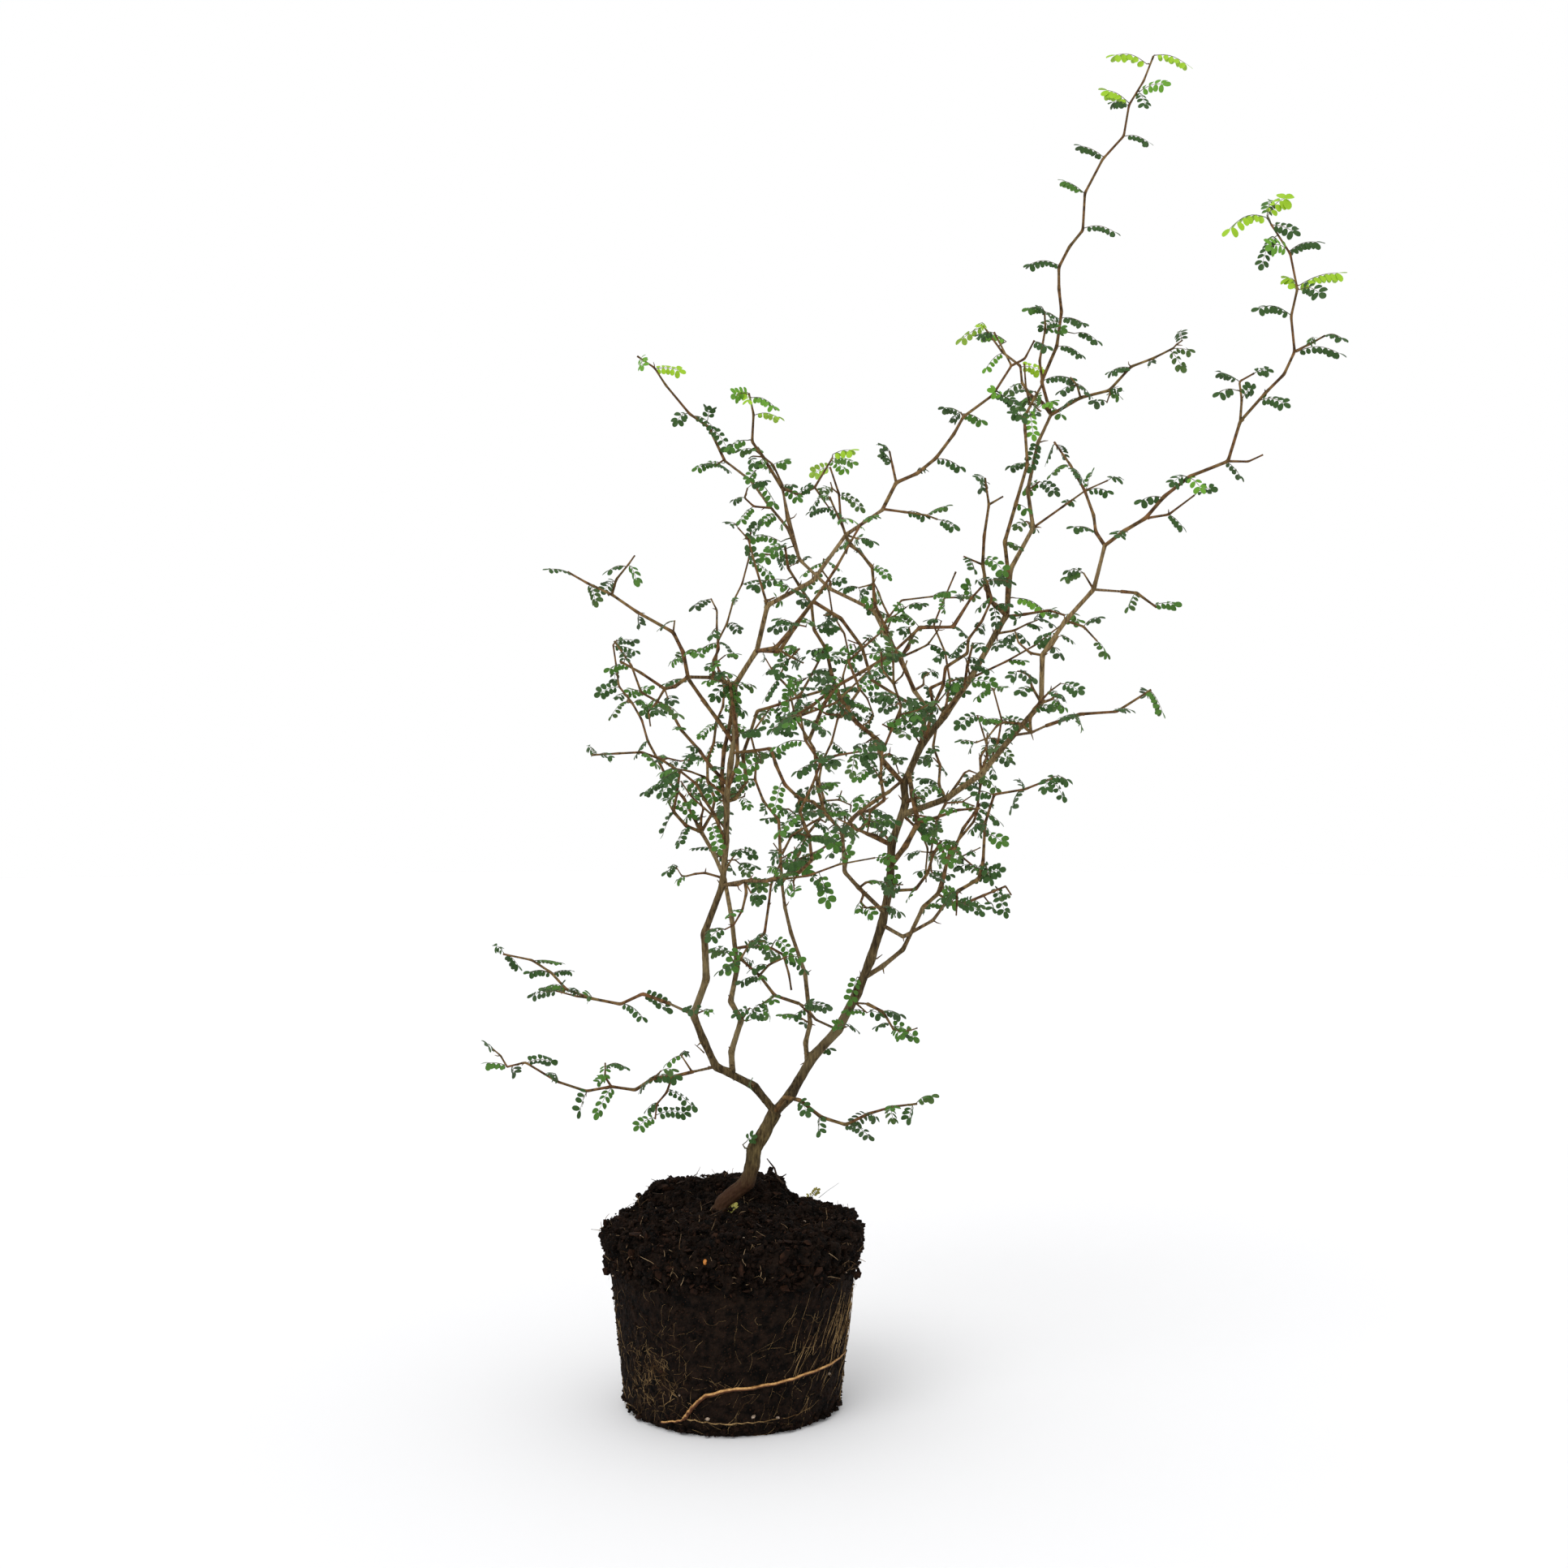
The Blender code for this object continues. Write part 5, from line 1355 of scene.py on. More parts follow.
# Thin old limbs that cross the middle and lie beside the boughs: radius at the foot and the tip,
# then the turns (right, back, up).  An end that meets other wood has grown together with it.
OLD_LIMBS = (
    (1, 0.7, (16.1, -76, 456.6), (28.7, -72, 456.4), (38.1, -66, 471.4), (48.6, -58, 486.8),
     (65, -50, 477.6), (77.8, -40, 461.6), (84.1, -30, 442.3), (105.2, -20, 430.1),
     (115.9, -8, 426.7)),
    (1.25, 0.6, (106.1, 10, 380), (91.9, -2, 394), (89.1, -8, 406.8), (75.5, -14, 417.5),
     (65.4, -20, 432.1), (60.3, -26, 445.5), (56.8, -32, 460.7), (49.4, -38, 471.9),
     (47.8, -44, 486.3), (40.6, -50, 496.7), (33.9, -54, 506.8), (32, -58, 519.6)),
    (0.95, 0.55, (115.7, 46, 440.3), (104.7, 36, 459.4), (96.1, 30, 478), (88.8, 26, 493),
     (87, 22, 516.6), (72.1, 16, 531.6), (65.9, 12, 544.7), (59.7, 8, 558.2)),
    (1.1, 0.6, (118, 14, 408.3), (123.7, 2, 428.1), (129, -6, 440.2), (130, -12, 451.2),
     (142.7, -18, 459.2), (142.8, -22, 467.3), (150.7, -26, 478.2), (156.2, -30, 491),
     (152.8, -34, 501.8)),
    (1.5, 1.2, (97.1, 2, 329.9), (105.7, -12, 342.4), (113, -14, 356.3), (110, -8, 374),
     (108.4, 6, 388)),
    (0.9, 0.6, (113, -14, 356.3), (122.9, -20, 359.4), (135.9, -28, 364.4), (148.4, -34, 365.4)),
    (0.95, 0.8, (66.1, -44, 351.6), (74.6, -36, 361.6), (85.3, -26, 369.2), (95.3, -12, 375.1),
     (105.9, 6, 381)),
    (0.85, 0.75, (1.6, -60, 398), (14.5, -66, 399.3), (24, -72, 400.6), (26.8, -76, 391.2),
     (32, -78, 379.5), (40.4, -76, 371.6), (48.4, -70, 369.7), (57.1, -58, 361),
     (66.1, -44, 351.6)),
    (0.95, 0.55, (49.2, -77, 407.1), (54.5, -70, 426), (61.8, -62, 436.8), (77.2, -54, 445.8),
     (95, -44, 456.9), (108, -36, 469.1), (112.5, -34, 473.2), (133.5, -28, 474.2),
     (144.5, -20, 492), (153.7, -12, 502.7)),
    (0.9, 0.65, (61.8, -62, 436.8), (47.8, -48, 426), (35.9, -36, 419.2), (24.7, -26, 412.3)),
    (1, 0.55, (0, -54, 369.5), (2.9, -52, 371.4), (9.4, -46, 381.9), (7.1, -48, 397.2),
     (11.3, -46, 409.3), (15.6, -42, 423.4), (28.6, -38, 427.4), (40.7, -34, 432.4),
     (49, -30, 447.2), (52, -28, 461)),
    (1.05, 0.8, (1.7, -61, 404.1), (-6.7, -66, 416.8), (-14.5, -70, 427.4), (-23, -78, 439.7),
     (-24, -86, 441.1)),
    (0.95, 0.45, (-3.3, -52, 380.5), (-11.6, -48, 390.1), (-18.5, -44, 399.7), (-29.9, -38, 412.4),
     (-37, -32, 425.2), (-54.5, -26, 435.2), (-60.7, -22, 451.6), (-71.4, -18, 466.6)),
    (0.95, 0.55, (-3.4, -50, 344.6), (-9.3, -60, 362.5), (-14.7, -66, 371), (-19.2, -70, 380),
     (-28.4, -74, 387.5)),
    (1.15, 0.9, (-1.9, -52, 362.8), (-5.7, -40, 382.9), (-4.1, -42, 399.8), (-0.1, -48, 416.4),
     (1.1, -56, 429.5), (2.8, -68, 436.5)),
    (1.05, 0.8, (-1.4, -55, 377.1), (4.7, -70, 392.2), (4.5, -80, 408.4), (2.3, -84, 424.5),
     (3.5, -76, 437.9)),
    (1.05, 0.6, (128.8, 15, 418.5), (142.9, 4, 439.2), (144.1, -4, 452.7), (147, -10, 466.2)),
    (1, 0.7, (123.7, 2, 428.1), (121.3, -2, 438.9), (124.7, -4, 444.8)),
    (0.85, 0.55, (2.4, 24, 276.9), (10.6, 22, 278.6), (19.3, 20, 286.4), (21.9, 18, 304.3),
     (23.4, 14, 317.2), (30, 10, 332.6)),
    (0.85, 0.5, (2.4, 24, 276.9), (10.5, 28, 277.6), (23.3, 34, 276), (31, 38, 271.5),
     (34.6, 40, 258.9), (36.2, 40, 248.6)),
    (1.1, 0.8, (97.7, 4, 341.9), (84.1, 14, 348.6), (73.8, 22, 353.5)),
    (0.8, 0.5, (30.4, 66, 334.5), (36.2, 50, 346.6), (49.1, 40, 355.2), (61.8, 30, 362.6)),
    (0.8, 0.55, (29.9, 70, 316.3), (42, 54, 331.8), (54.3, 44, 337.4), (61.4, 36, 342.9)),
    (1, 0.6, (96.6, 2, 313.9), (111.8, -10, 315.6), (118.8, -16, 325.8), (121.9, -20, 337.7),
     (126.6, -22, 345.7)),
    (0.95, 0.6, (120.7, 50, 300.7), (132.2, 44, 312.5), (136.9, 38, 337.6), (151.8, 32, 356.4),
     (154.9, 28, 367.7)),
    (1.1, 0.65, (170.6, 18, 485.6), (170.5, 8, 511.4), (167.7, 2, 529.3), (175.2, 6, 553.9),
     (183.3, 14, 579.4), (182.6, 20, 601.8), (182.6, 24, 610.7), (190.3, 28, 624.8),
     (196, 36, 635.8)),
    (0.9, 0.55, (170.6, 18, 484.6), (180.8, 10, 485.4), (194.8, 2, 487.2), (203.9, -4, 483.6)),
    (0.75, 0.5, (195.8, 42, 638.1), (193.9, 36, 648.7), (197, 32, 668.3), (196.2, 30, 678.6)),
    (0.7, 0.45, (189.6, 46, 621.3), (185.7, 40, 632.5), (184.4, 38, 647.6)),
    (0.8, 0.5, (40.6, 84, 537.1), (33.5, 82, 555.1), (30.4, 78, 576.8), (24.4, 74, 589.2),
     (12.3, 70, 598.6)),
)
OLD_LIMB_MEETS = 6.5
OLD_LIMB_FULLER = 1.2
OLD_LIMB_BARE = 0.25
OLD_LIMB_LEAF_ROOM = 3.0
SHOOT_FOOT = 0.85
SHOOT_END = 0.5
SHOOT_RADIUS = 0.6
SHOOT_LEAF = (14.0, 18.0)
wood_lines = [path for path, foot, tip in limbs.values()]
wood_lines += [stem for stem, twigs, leaves in masses.values()]


def nearest_wood(point):
    """The nearest spot on any limb so far."""
    best = None
    for line in wood_lines:
        for near, far in zip(line, line[1:]):
            share = intersect_point_line(point, near, far)[1]
            spot = near + (far - near) * min(1.0, max(0.0, share))
            if best is None or (spot - point).length < (best - point).length:
                best = spot
    return best


rng = random.Random("old limbs")
for foot, tip, *stops in OLD_LIMBS:
    path = [vec(stop) for stop in stops]
    for end in (0, -1):
        spot = nearest_wood(path[end])
        if (spot - path[end]).length < OLD_LIMB_MEETS:
            path[end] = spot
    fine_twigs.append((path, foot * OLD_LIMB_FULLER, tip * OLD_LIMB_FULLER))
    wood_lines.append(path)
    space.add_path(path, foot, "old limb")
    for index in range(1, len(path)):
        back = (path[index] - path[index - 1]).normalized()
        for number in range(1 if index + 1 < len(path) else 2):
            if rng.random() < OLD_LIMB_BARE:
                continue
            aim = square_to(back, rng) if number == 0 else back
            extra_leaf("old limb", None, path[index] - back * 0.4, aim, 0.95, 0.5, rng,
                       OLD_LIMB_LEAF_ROOM)
rng = random.Random("shoots")
for name, *stops in SHOOTS:
    path = [vec(stop) for stop in stops]
    spot = nearest_wood(path[0])
    if (spot - path[0]).length < OLD_LIMB_MEETS:
        path[0] = spot
    fine_twigs.append((path, SHOOT_FOOT, SHOOT_END))
    space.add_path(path, SHOOT_RADIUS, name)
    for index in range(1, len(path)):
        kink_leaf(name, path, index, rng.uniform(*SHOOT_LEAF), rng)

# The leaders whose single leaves are set one by one further on, and the share of the stem kept.
BARE_BEYOND = {"top_spray": 0.0, "right_leader_spray": 0.45}
# The share of its leaves that a thin mass has lost.
SPARSE = {"right_front_spray": 0.55, "inner_back_spray": 0.58, "right_back_spray": 0.48,
          "centre_back_spray": 0.45, "left_centre_spray": 0.42, "crossing_spray": 0.52,
          "inner_front_spray": 0.45, "left_low_spray": 0.34, "left_outer_spray": 0.34,
          "left_side_spray": 0.34, "left_high_spray": 0.20, "high_left_spray": 0.25,
          "right_leader_spray": 0.30, "left_back_spray": 0.28, "right_inner_spray": 0.20,
          "right_middle_spray": 0.48, "high_back_spray": 0.40, "high_inner_spray": 0.15,
          "inner_left_spray": 0.30, "centre_high_spray": 0.15, "right_arm_spray": 0.25,
          "right_edge_spray": 0.25, "high_middle_spray": 0.15, "right_high_spray": 0.15}
# The joints without leaves at the foot of a stem that grows from the trunk.
BARE_JOINTS = 2
HEART_LOSS = 0.15
TWIG_KNUCKLE = 0.20
runs = []
for name, bough, reach, twiggy, leafy, bends in SPRAYS:
    stem, twigs, leaves = masses[name]
    shares = along_shares(stem)
    rng = random.Random("nodding " + name)
    for root, along, face, length, tint in leaves:
        near = min(range(len(stem)), key=lambda i: (stem[i] - root).length)
        if bough == "trunk" and near < BARE_JOINTS:
            continue
        if shares[near] > BARE_BEYOND.get(name, 2.0) and (stem[near] - root).length < 4.0:
            continue
        if rng.random() < max(HEART_LOSS * in_heart(root), SPARSE.get(name, 0.0)):
            continue
        wild = 12.0 + 14.0 * in_heart(root)
        nod = Matrix.Rotation(math.radians(rng.gauss(-4.0, wild)), 3, along.cross(face))
        along = nod @ along
        seat_leaf(name, root, along, facing(along, rng), length, shares[near], tint)
    if name not in BARE_BEYOND:
        finer_growth(name, stem, reach, twigs, random.Random("finer " + name))
    foot = min(STEM_FOOT[1], max(STEM_FOOT[0], 0.95 * limbs[bough][2]))
    runs.append(woody_run(stem, foot, STEM_END, TWIG_KNUCKLE))
    for path in twigs:
        runs.append(woody_run(path, TWIG_FOOT, TWIG_END, TWIG_KNUCKLE))


def old_twigs(name, rng):
    """Old zigzag twigs and short spurs at a bough's joints, half bare, the rest with small tufts."""
    def free(before, heading, point):
        """Whether an old twig stays off every other limb and leaf."""
        return space.room(before + heading * (width + 1.5), point, 1.0, name) >= FINE_ROOM

    path, foot, tip = limbs[name]
    shares = along_shares(path)
    for index in range(1, len(path)):
        here = path[index]
        if here.z < LOWEST_TUFT:
            continue
        heart = in_heart(here)
        for number in range(2 if heart > 0.5 else 1):
            if rng.random() > 0.30 + 0.55 * heart:
                continue
            back = (here - path[index - 1]).normalized()
            width = foot + (tip - foot) * shares[index]
            most = 1 + round(OLD_STEPS * heart)
            spur = side_twig(here, back, rng, (0.1, 0.8), most, OLD_STRIDE, 0.55, free, width)
            if len(spur) < 2:
                continue
            space.add_path(spur, FINE_RADIUS, name)
            fine_twigs.append((spur, min(0.95, 0.55 + 0.1 * len(spur)), FINE_END))
            for step in range(1, len(spur)):
                way = (spur[step] - spur[step - 1]).normalized()
                for more in range(2 if step == len(spur) - 1 else rng.randint(0, 1)):
                    aim = way if more == 0 else square_to(way, rng)
                    extra_leaf(name, None, spur[step] - way * 0.3, aim, 0.9, 0.5, rng)


for name in limbs:
    if name != "trunk":
        old_twigs(name, random.Random("old twigs " + name))
for path, foot, tip in fine_twigs:
    runs.append(woody_run(path, foot, tip, TWIG_KNUCKLE))


def dead_stubs(path, foot, tip, chance, longest, rng):
    """Short dead stubs that fallen leaves and twigs have left at a limb's joints."""
    for index in range(1, len(path) - 1):
        if path[index].z < LOWEST_TUFT or rng.random() > chance:
            continue
        back = (path[index] - path[index - 1]).normalized()
        width = foot + (tip - foot) * (index / (len(path) - 1))
        aim = (square_to(back, rng) + back * rng.uniform(0.0, 0.7)).normalized()
        reach = width + rng.uniform(1.8, longest)
        middle = path[index] + aim * (0.6 * reach)
        end = path[index] + (aim + back * rng.uniform(-0.2, 0.3)) * reach
        thick = min(0.62, 0.30 + 0.2 * width)
        runs.append(([path[index], middle, end], [thick, 0.8 * thick, 0.35 * thick]))


# The chance of a stub at each joint, and the longest one: on boughs, on stems and on fine twigs.
BOUGH_STUBS = (0.85, 6.0)
STEM_STUBS = (0.28, 3.6)
TWIG_STUBS = (0.35, 4.0)
SNAPPED_TWIG = ((-16.8, -19.0, 217.0), (-19.5, -19.5, 219.8), (-22.6, -20.0, 222.4))
rng = random.Random("stubs")
for path, foot, tip in limbs.values():
    dead_stubs(path, foot, tip, *BOUGH_STUBS, rng)
for stem, twigs, leaves in masses.values():
    dead_stubs(stem, 0.9, STEM_END, *STEM_STUBS, rng)
for path, foot, tip in fine_twigs:
    dead_stubs(path, foot, tip, *TWIG_STUBS, rng)
runs.append(([vec(point) for point in SNAPPED_TWIG], [0.55, 0.42, 0.2]))


def twig_finish():
    """Thin grey-brown bark, redder in places."""
    finish = Finish("young_bark", 0.65, 0.1)
    ground = finish.ramp(finish.noise(60.0, 3.0),
                         (0.36, (0.124, 0.062, 0.026)), (0.66, (0.150, 0.104, 0.042)))
    grain = finish.noise(300.0, 4.0)
    tone = finish.ramp(grain, (0.35, (0.34, 0.32, 0.30)), (0.65, (1.46, 1.38, 1.24)))
    finish.paint(finish.mix(1.0, ground, tone, blend="MULTIPLY"))
    finish.relief(grain, 0.4, 0.1)
    return finish


piece("stems_and_twigs", tubes("stems_and_twigs", runs, 1), [row[0] for row in SPRAYS],
      twig_finish())


# ---- Leaves -------------------------------------------------------------------------------------
# Feathery leaves: a thin stalk and rib with a few pairs of small oval leaflets and one at the end.
# The rib lies nearly flat and its leaflets hang a little.  Old leaves are deep green, some are
# fresher, and the newest at the shoot tips are yellow-green with larger leaflets.


def leaflet_shape(name, width, fold, droop):
    """One oval leaflet, 1 long from its foot, creased along its middle."""
    work = bmesh.new()
    bmesh.ops.create_circle(work, cap_ends=True, segments=12, radius=0.5)
    bmesh.ops.translate(work, verts=work.verts[:], vec=(0.0, 0.5, 0.0))
    for centre, way in (((0, 0, 0), (1, 0, 0)), ((0, 0.5, 0), (0, 1, 0))):
        bmesh.ops.bisect_plane(work, geom=work.verts[:] + work.edges[:] + work.faces[:], dist=0.0001,
                               plane_co=centre, plane_no=way)
    for vert in work.verts:
        along = vert.co.y
        vert.co.x *= width * (0.82 + 0.36 * along)
        vert.co.z = fold * abs(vert.co.x) - droop * along * along
    bmesh.ops.triangulate(work, faces=work.faces[:])
    bmesh.ops.recalc_face_normals(work, faces=work.faces[:])
    if sum(face.normal.z for face in work.faces) < 0.0:
        bmesh.ops.reverse_faces(work, faces=work.faces[:])
    return meshed(work, name)


LEAFLET_CROWDING = 0.74
LEAFLET_LENGTH = 4.5
SHOWY_LEAFLET_LENGTH = 4.8
YOUNG_SIZE = 1.18
RIB_STEPS = 8
RIB_RADIUS = 0.27
RIB_TAPER = 0.14
RIB_RISE = (0.04, 0.14)
RIB_DROOP = (0.04, 0.14)
RIB_BOW = (-0.08, 0.08)
STALK = (1.8, 3.4)
HANG = (8.0, 58.0)
LAST_PAIR = 0.95
leaflet_shapes = [leaflet_shape("leaflet_flat", 0.76, 0.10, 0.05),
                  leaflet_shape("leaflet_cupped", 0.72, 0.28, 0.10),
                  leaflet_shape("leaflet_slim", 0.66, 0.20, 0.14)]
rib_runs = []
# The kinds of leaf: deep green old ones, fresher mid and bright ones, the yellow-green young ones of
# the tips, and the few faded ones.
dealt = {"deep": [], "mid": [], "bright": [], "young": [], "faded": []}
# How far up its stem a growing mass turns to young leaves.
YOUNG_TIPS = {"high_left_spray": 0.85, "high_middle_spray": 0.75, "high_inner_spray": 0.8,
              "high_back_spray": 0.9, "top_left_spray": 0.5}


def dress_leaf(root, along, face, length, kind, rng, hang=None, size=LEAFLET_LENGTH):
    """A leaf's arched rib, its pairs of leaflets and the one at its end."""
    side = along.cross(face).normalized()
    size = size * (YOUNG_SIZE if kind == "young" else 1.0) * rng.uniform(0.88, 1.10)
    stalk = min(0.25 * length, rng.uniform(*STALK))
    rib_length = length - 0.7 * size
    pairs = max(2, round((rib_length - stalk) / (LEAFLET_CROWDING * size)) + 1)
    arch = rng.uniform(*RIB_RISE)
    droop = rng.uniform(*RIB_DROOP)
    if hang is None:
        hang = math.radians(rng.uniform(*HANG))
    bow = rng.uniform(*RIB_BOW)

    def rib_at(share):
        """A point of the rib, from its foot at 0 to its end at 1."""
        rise = arch * math.sin(math.pi * share) - droop * share * share
        return root + (along * share + Vector((0, 0, rise)) + side * (bow * share * share)) * rib_length

    steps = range(RIB_STEPS + 1)
    rib = [rib_at(step / RIB_STEPS) for step in steps]
    rib_runs.append((rib, [RIB_RADIUS - RIB_TAPER * step / RIB_STEPS for step in steps]))
    first = stalk / rib_length
    for number in range(pairs):
        order = number / max(1, pairs - 1)
        share = first + (LAST_PAIR - first) * order
        here = rib_at(share)
        ahead = (rib_at(share + 0.02) - here).normalized()
        up = squared(face, ahead)
        across = ahead.cross(up)
        scale = size * (0.80 + 0.24 * order) * rng.uniform(0.94, 1.06)
        for hand in (-1.0, 1.0):
            drop = hang + math.radians(rng.gauss(0.0, 7.0))
            lean = rng.uniform(0.12, 0.34)
            out = (across * (hand * math.cos(drop)) - up * math.sin(drop) + ahead * lean).normalized()
            normal = (up * math.cos(drop) + across * (hand * math.sin(drop))).normalized()
            set_leaflet(kind, here + out * 0.25, out, normal, scale, rng)
    here = rib_at(1.0)
    out = (here - rib_at(LAST_PAIR)).normalized()
    set_leaflet(kind, here, out, face, size * 1.05, rng)


def set_leaflet(kind, here, out, normal, scale, rng):
    """Deal one leaflet to its kind: its foot here, its tip outwards, its upper side to the normal."""
    normal = squared(normal, out)
    flat = out.cross(normal)
    place = Matrix.Identity(4)
    for row in range(3):
        place[row][0] = flat[row] * scale * MM
        place[row][1] = out[row] * scale * MM
        place[row][2] = normal[row] * scale * MM
        place[row][3] = here[row] * MM
    dealt[kind].append((rng.randrange(len(leaflet_shapes)), place))


# Leaves of the two tall leaders, one at each outer turn, then the showy ones in front of the
# boughs: foot, tip (right, back, up), kind, and how far its upper side looks to the front.
SET_LEAVES = (
    ((261, 31, 835.5), (237.6, 26, 842.7), "young", 0.3),
    ((266.5, 30, 840.7), (287.2, 24, 833.8), "young", 0.2),
    ((256.6, 32, 818.4), (272, 22, 822.3), "bright", 0.8),
    ((256.1, 32, 818.4), (258.3, 22, 806.5), "deep", 0.7),
    ((250.4, 32, 810.7), (234.5, 38, 825.2), "young", 0.1),
    ((249.4, 32, 809.6), (236.2, 24, 810.8), "deep", 0.1),
    ((247.2, 34, 790.8), (263.5, 28, 785.6), "deep", 0.2),
    ((234.2, 36, 778.6), (217.2, 30, 785.8), "deep", 0.3),
    ((222.6, 38, 756), (208.5, 44, 767.8), "mid", 0.3),
    ((222.9, 40, 734.4), (243.6, 34, 731.1), "deep", 0.2),
    ((207.7, 42, 710.7), (184.9, 34, 712.5), "deep", 0.3),
    ((196.7, 30, 678.6), (182.6, 24, 680.6), "mid", 0.5),
    ((208.5, 44, 678), (223.5, 34, 673.9), "deep", 0.4),
    ((208, 44, 674.9), (194.4, 36, 671.3), "deep", 0.8),
    ((206.4, 44, 659.8), (221.8, 36, 654.3), "deep", 0.3),
    ((196.3, 42, 637.1), (215.8, 34, 640.5), "deep", 0.4),
    ((214.5, 26, 663.8), (230.7, 22, 659.8), "deep", 0.3),
    ((305.3, -90, 701.7), (278.9, -98, 696.1), "young", 0.3),
    ((306.2, -90, 702.6), (318.3, -86, 717.2), "young", 0.5),
    ((305.7, -90, 702.6), (311.1, -80, 716.8), "mid", 0.6),
    ((308.5, -90, 697.5), (321.6, -96, 692.5), "deep", 0.9),
    ((317.2, -90, 683.3), (303.1, -102, 685.3), "bright", 1),
    ((311.7, -90, 691.5), (299.1, -98, 674.1), "deep", 0.6),
    ((318.2, -90, 682.3), (336.9, -84, 692.8), "deep", 0.2),
    ((323.7, -90, 663), (351.4, -82, 675.8), "young", 0.1),
    ((323.7, -90, 661.1), (317.9, -84, 672.9), "young", 0.2),
    ((324.2, -90, 660.7), (335, -102, 657.5), "deep", 1),
    ((319.4, -89, 646.6), (297.3, -96, 650.8), "deep", 0.5),
    ((322.9, -88, 625.6), (347.8, -94, 627), "deep", 0.2),
    ((303.1, -86, 598.8), (315.6, -96, 595.8), "deep", 0.9),
    ((289.7, -84, 604.8), (276.2, -90, 604), "deep", 0.4),
    ((175.5, 8, 495.3), (195.5, 0, 487.5), "bright", 0.3),
    ((178, 80, 671.5), (160.7, 88, 679.3), "bright", 0.2),
    ((163, -30, 611.8), (155.2, -34, 617.3), "bright", 0.8),
    ((186.2, 28, 616.1), (187.7, 20, 598.2), "bright", 0.9),
    ((192.3, 28, 617.6), (201.9, 20, 622.1), "bright", 0.3),
    ((263.1, -76, 556.5), (270.7, -84, 548.2), "bright", 0.9),
    ((9.7, 44, 629.2), (2, 40, 632.5), "young", 0.3),
    ((10.7, 44, 627.1), (27.9, 38, 621.7), "bright", 0.3),
    ((64.8, 128, 605.6), (80.2, 122, 609.5), "young", 0.3),
    ((76.5, 0, 261), (72.3, -6, 246.7), "mid", 1),
    ((94.2, -6, 337.2), (100.3, -12, 322.6), "mid", 1),
    ((4.2, 12, 276.9), (-2.2, 6, 263.9), "mid", 1),
    ((31.5, 56, 332.8), (48.2, 48, 324.8), "mid", 1),
    ((29.6, -84, 380), (26.9, -88, 365.2), "mid", 1),
    ((18.2, -60, 392.3), (4.2, -66, 386.6), "mid", 1),
    ((-0.4, -88, 438.2), (4.8, -92, 425.1), "mid", 0.9),
    ((64, -66, 442.2), (56.8, -74, 430.5), "mid", 1),
    ((47.6, -60, 453), (57.9, -66, 459.2), "mid", 0.8),
    ((82.1, -30, 457.9), (93.4, -38, 454.5), "mid", 0.7),
    ((110.5, 0, 431), (116.4, -8, 412.8), "deep", 1),
    ((122.8, 4, 429.2), (110.2, -4, 420.9), "deep", 1),
    ((-5.3, -66, 384.7), (-10.7, -72, 370.6), "mid", 1),
    ((-10.8, -56, 356.2), (-6.8, -62, 341.2), "mid", 1),
    ((26.4, 20, 282.3), (36.6, 14, 274.7), "mid", 1),
    ((145, 0, 442), (160.6, -8, 443.6), "mid", 0.8),
    ((156.1, 10, 520.2), (169.2, 2, 512.2), "mid", 0.9),
    ((192.1, 30, 596.5), (186.7, 24, 578.6), "deep", 1),
    ((162.5, -34, 611.9), (174.3, -44, 597.4), "deep", 1),
    ((128.2, -38, 318.6), (132.8, -46, 308), "mid", 1),
    ((126, -24, 344.8), (132.6, -32, 332.8), "mid", 1),
    ((148.9, -70, 350.9), (158.7, -78, 347.4), "mid", 0.8),
    ((162, 4, 316.8), (167, -4, 300.3), "deep", 0.9),
    ((52.4, -60, 326.9), (58.8, -66, 311.2), "mid", 0.9),
    ((57.3, -50, 353.2), (61.9, -56, 342.9), "mid", 1),
    ((14.4, -60, 323.6), (18.3, -66, 313.1), "deep", 1),
    ((-7.8, 72, 589.9), (-27.1, 66, 587.7), "mid", 0.6),
    ((-32.2, 76, 623.3), (-40.9, 70, 618.1), "deep", 0.8),
    ((-18.6, 74, 618.5), (-16.3, 68, 627.7), "deep", 0.8),
    ((7.7, 72, 605), (-6.6, 66, 600.5), "mid", 0.5),
    ((8.4, 66, 591.9), (15.1, 60, 587.8), "deep", 0.8),
    ((13.4, 66, 584.5), (6.9, 60, 577.3), "mid", 0.8),
    ((24.4, 70, 588.5), (34.4, 64, 592.3), "mid", 0.6),
    ((26.4, 74, 556.4), (16.8, 68, 550.6), "mid", 0.8),
    ((31.8, 76, 534), (16.4, 70, 528.2), "mid", 0.8),
    ((29.4, 78, 539.3), (8.3, 72, 543.6), "mid", 0.5),
    ((32.9, -49, 500.2), (11.2, -54, 499.2), "deep", 0.4),
    ((31.8, 74, 572.1), (43.1, 68, 567.6), "mid", 0.7),
    ((17.4, 70, 575.5), (27, 64, 562.5), "mid", 0.4),
)
wood_lines += [twig for stem, twigs, leaves in masses.values() for twig in twigs]
wood_lines += [path for path, foot, tip in fine_twigs]
# Where the shrub is looked at from: level with its middle and in front of it.
EYE = vec((31.5, -1150.0, 380.0))
OWN_STALK = 0.5
LONGEST_STALK = 6.0
SLIDE_STEP = 0.003
SLIDE_STEPS = 10
SLIDE_COST = 20.0


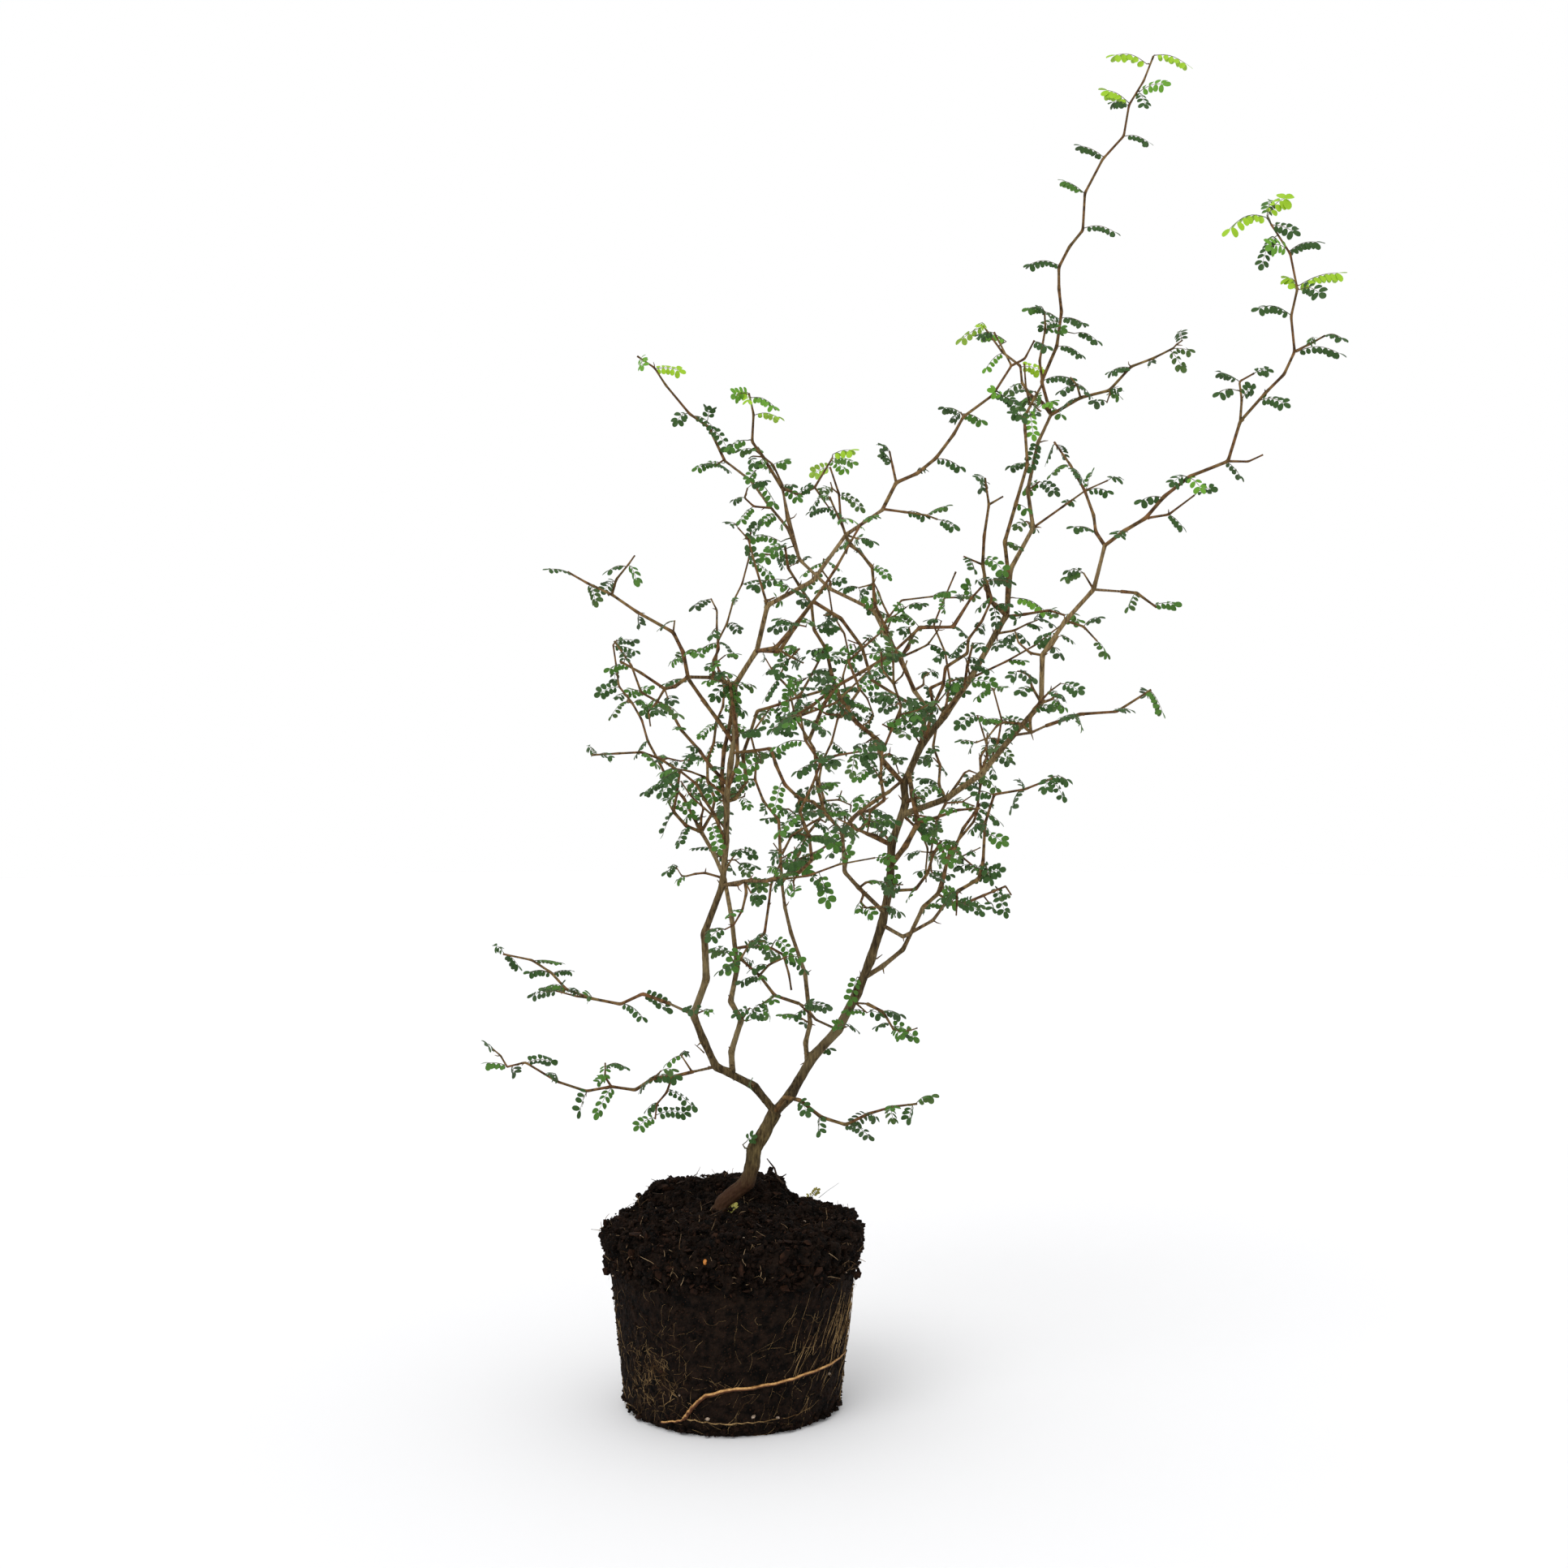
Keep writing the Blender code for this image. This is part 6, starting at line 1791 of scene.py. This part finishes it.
def seated(root, tip):
    """A leaf's foot and tip; far from any wood it slides along the line of sight until it is near."""
    def cost(share):
        """How far from any wood the leaf's foot is, and what sliding it costs."""
        foot = EYE.lerp(root, share)
        return (nearest_wood(foot) - foot).length + SLIDE_COST * abs(share - 1.0)

    if cost(1.0) < LONGEST_STALK:
        return root, tip
    share = min((1.0 + SLIDE_STEP * step for step in range(-SLIDE_STEPS, SLIDE_STEPS + 1)), key=cost)
    return EYE.lerp(root, share), EYE.lerp(tip, share)


# The first seed of each lot of leaves; every leaf has a seed of its own.
SET_SEED = 900
SMALL_SEED = 990
DEALT_SEED = 7000
SHORTEST_SET = 9.0
SHOWN_FLATTER = 46.0
for number, (root, tip, kind, flat) in enumerate(SET_LEAVES):
    root, tip = seated(vec(root), vec(tip))
    spot = nearest_wood(root)
    if (spot - root).length > OWN_STALK:
        middle = root.lerp(spot, 0.5) + Vector((0.0, 0.0, 0.4))
        rib_runs.append(([spot, middle, root], [0.5, 0.42, 0.3]))
    length = max(SHORTEST_SET, (tip - root).length * 1.04)
    along = (tip - root).normalized()
    face = squared(Vector((0.1, -flat, 1.0 - 0.8 * flat)), along)
    hang = math.radians(HANG[1] - SHOWN_FLATTER * flat)
    dress_leaf(root, along, face, length, kind, random.Random(SET_SEED + number), hang,
               SHOWY_LEAFLET_LENGTH)

# Small leaves apart: one fallen on the compost, a seedling at the rim, a curled tuft on the trunk.
SMALL_LEAVES = (((-7.5, 0, 117.2), (3.6, -6, 121.0), "faded", 3.2),
                ((49.5, 60, 112.0), (53.5, 59, 119.0), "faded", 2.6),
                ((49.5, 60, 112.0), (46.5, 58, 114.0), "faded", 2.2),
                ((8.5, -4, 160.5), (13.5, -7, 165.5), "deep", 4.5))
SMALL_HANG = 0.2
for number, (root, tip, kind, size) in enumerate(SMALL_LEAVES):
    reach = vec(tip) - vec(root)
    along = reach.normalized()
    face = squared(Vector((0.0, -0.9, 0.5)), along)
    dress_leaf(vec(root), along, face, reach.length, kind, random.Random(SMALL_SEED + number),
               SMALL_HANG, size)
# Their stalks, and one loose bristle beside the seedling: points, then radii.
SMALL_STALKS = ((((48.5, 60, 104), (49, 60, 109), (49.5, 60, 112)), (0.5, 0.45, 0.35)),
                (((54, 59, 112), (60, 58, 117), (67, 57, 122)), (0.16, 0.12, 0.08)),
                (((11, -3, 156), (7.5, -4, 156.5), (6.2, -4, 158.6), (8.5, -4, 160.5)),
                 (0.6, 0.55, 0.45, 0.3)))
rib_runs += [([vec(point) for point in stops], radii) for stops, radii in SMALL_STALKS]

# The dealt leaves: what share of its length each keeps, and the tint past which it is fresher.
DEALT_LENGTH = (0.74, 0.98)
MID_TINT = 0.62
YOUNG_TINT = 0.45
for number, (name, root, along, face, length, share, tint) in enumerate(leaf_seats):
    kind = "mid" if tint > MID_TINT else "deep"
    if share > YOUNG_TIPS.get(name, 1.1):
        kind = "young" if tint > YOUNG_TINT else "bright"
    rng = random.Random(DEALT_SEED + number)
    dress_leaf(root, along, face, length * rng.uniform(*DEALT_LENGTH), kind, rng)


def leaf_finish(name, top, under, roughness):
    """Leaf skin: one plain green above and a paler one below, with a soft gloss and fine relief."""
    finish = Finish(name, roughness, 0.16)
    below = finish.add("NewGeometry").outputs["Backfacing"]
    finish.paint(finish.mix(below, top, under))
    finish.relief(finish.noise(900.0), 0.25, 0.08)
    return finish


LEAF_FINISHES = {
    "deep": leaf_finish("deep_green_leaf", (0.034, 0.084, 0.018), (0.055, 0.104, 0.036), 0.5),
    "mid": leaf_finish("fresh_green_leaf", (0.058, 0.152, 0.020), (0.082, 0.150, 0.038), 0.5),
    "bright": leaf_finish("bright_green_leaf", (0.120, 0.300, 0.026), (0.140, 0.290, 0.050), 0.5),
    "faded": leaf_finish("faded_leaf", (0.330, 0.300, 0.075), (0.300, 0.165, 0.060), 0.6),
    "young": leaf_finish("young_leaf", (0.290, 0.500, 0.022), (0.310, 0.500, 0.060), 0.5),
}
for kind, finish in LEAF_FINISHES.items():
    title = kind + "_leaflets"
    piece(title, sown(title, leaflet_shapes, dealt[kind]), [], finish, smooth=False)
rib_finish = Finish("leaf_ribs", 0.6)
rib_finish.paint(rib_finish.ramp(rib_finish.noise(60.0), (0.40, (0.060, 0.080, 0.030)),
                                 (0.62, (0.130, 0.080, 0.040))))
piece("leaf_ribs", tubes("leaf_ribs", rib_runs, 0), [], rib_finish)


# ---- Floor, light and camera --------------------------------------------------------------------
# A plain pale floor under a bright even sky, with one broad soft light high on the left in front.
# The camera looks level at the middle of the shrub.

FLOOR_RADIUS = 7.0
FLOOR_DROP = 0.0002
FLOOR_COLOUR = (0.84, 0.84, 0.85, 1.0)
floor_work = bmesh.new()
bmesh.ops.create_circle(floor_work, cap_ends=True, segments=96, radius=FLOOR_RADIUS)
floor = bpy.data.objects.new("studio_floor", meshed(floor_work, "studio_floor"))
bpy.context.scene.collection.objects.link(floor)
floor.location.z = -FLOOR_DROP
paint = Finish("floor_paint", 0.9)
paint.shader.inputs["Base Color"].default_value = FLOOR_COLOUR
floor.data.materials.append(paint.material)

sky = bpy.data.worlds.new("bright_studio")
bpy.context.scene.world = sky
sky.use_nodes = True
sky.node_tree.nodes["Background"].inputs["Color"].default_value = (1.0, 1.0, 1.0, 1.0)
sky.node_tree.nodes["Background"].inputs["Strength"].default_value = 1.0

LAMP_AIM = Vector((0.55, 0.90, -1.15))
sun = bpy.data.lights.new("key_lamp", "SUN")
sun.energy = 1.0
sun.angle = math.radians(40.0)
key_lamp = bpy.data.objects.new("key_lamp", sun)
key_lamp.rotation_mode = "QUATERNION"
key_lamp.rotation_quaternion = LAMP_AIM.to_track_quat("-Z", "Y")
bpy.context.scene.collection.objects.link(key_lamp)

SENSOR_WIDTH = 36.0
FRAME_PIXELS = 1932.0
FOCAL_PIXELS = 2300.0
bpy.context.scene.view_settings.view_transform = "Standard"
lens = bpy.data.cameras.new("camera")
lens.sensor_width = SENSOR_WIDTH
lens.lens = FOCAL_PIXELS / FRAME_PIXELS * SENSOR_WIDTH
camera = bpy.data.objects.new("camera", lens)
camera.location = EYE * MM
camera.rotation_euler = (math.radians(90.0), 0.0, 0.0)
bpy.context.scene.collection.objects.link(camera)
bpy.context.scene.camera = camera
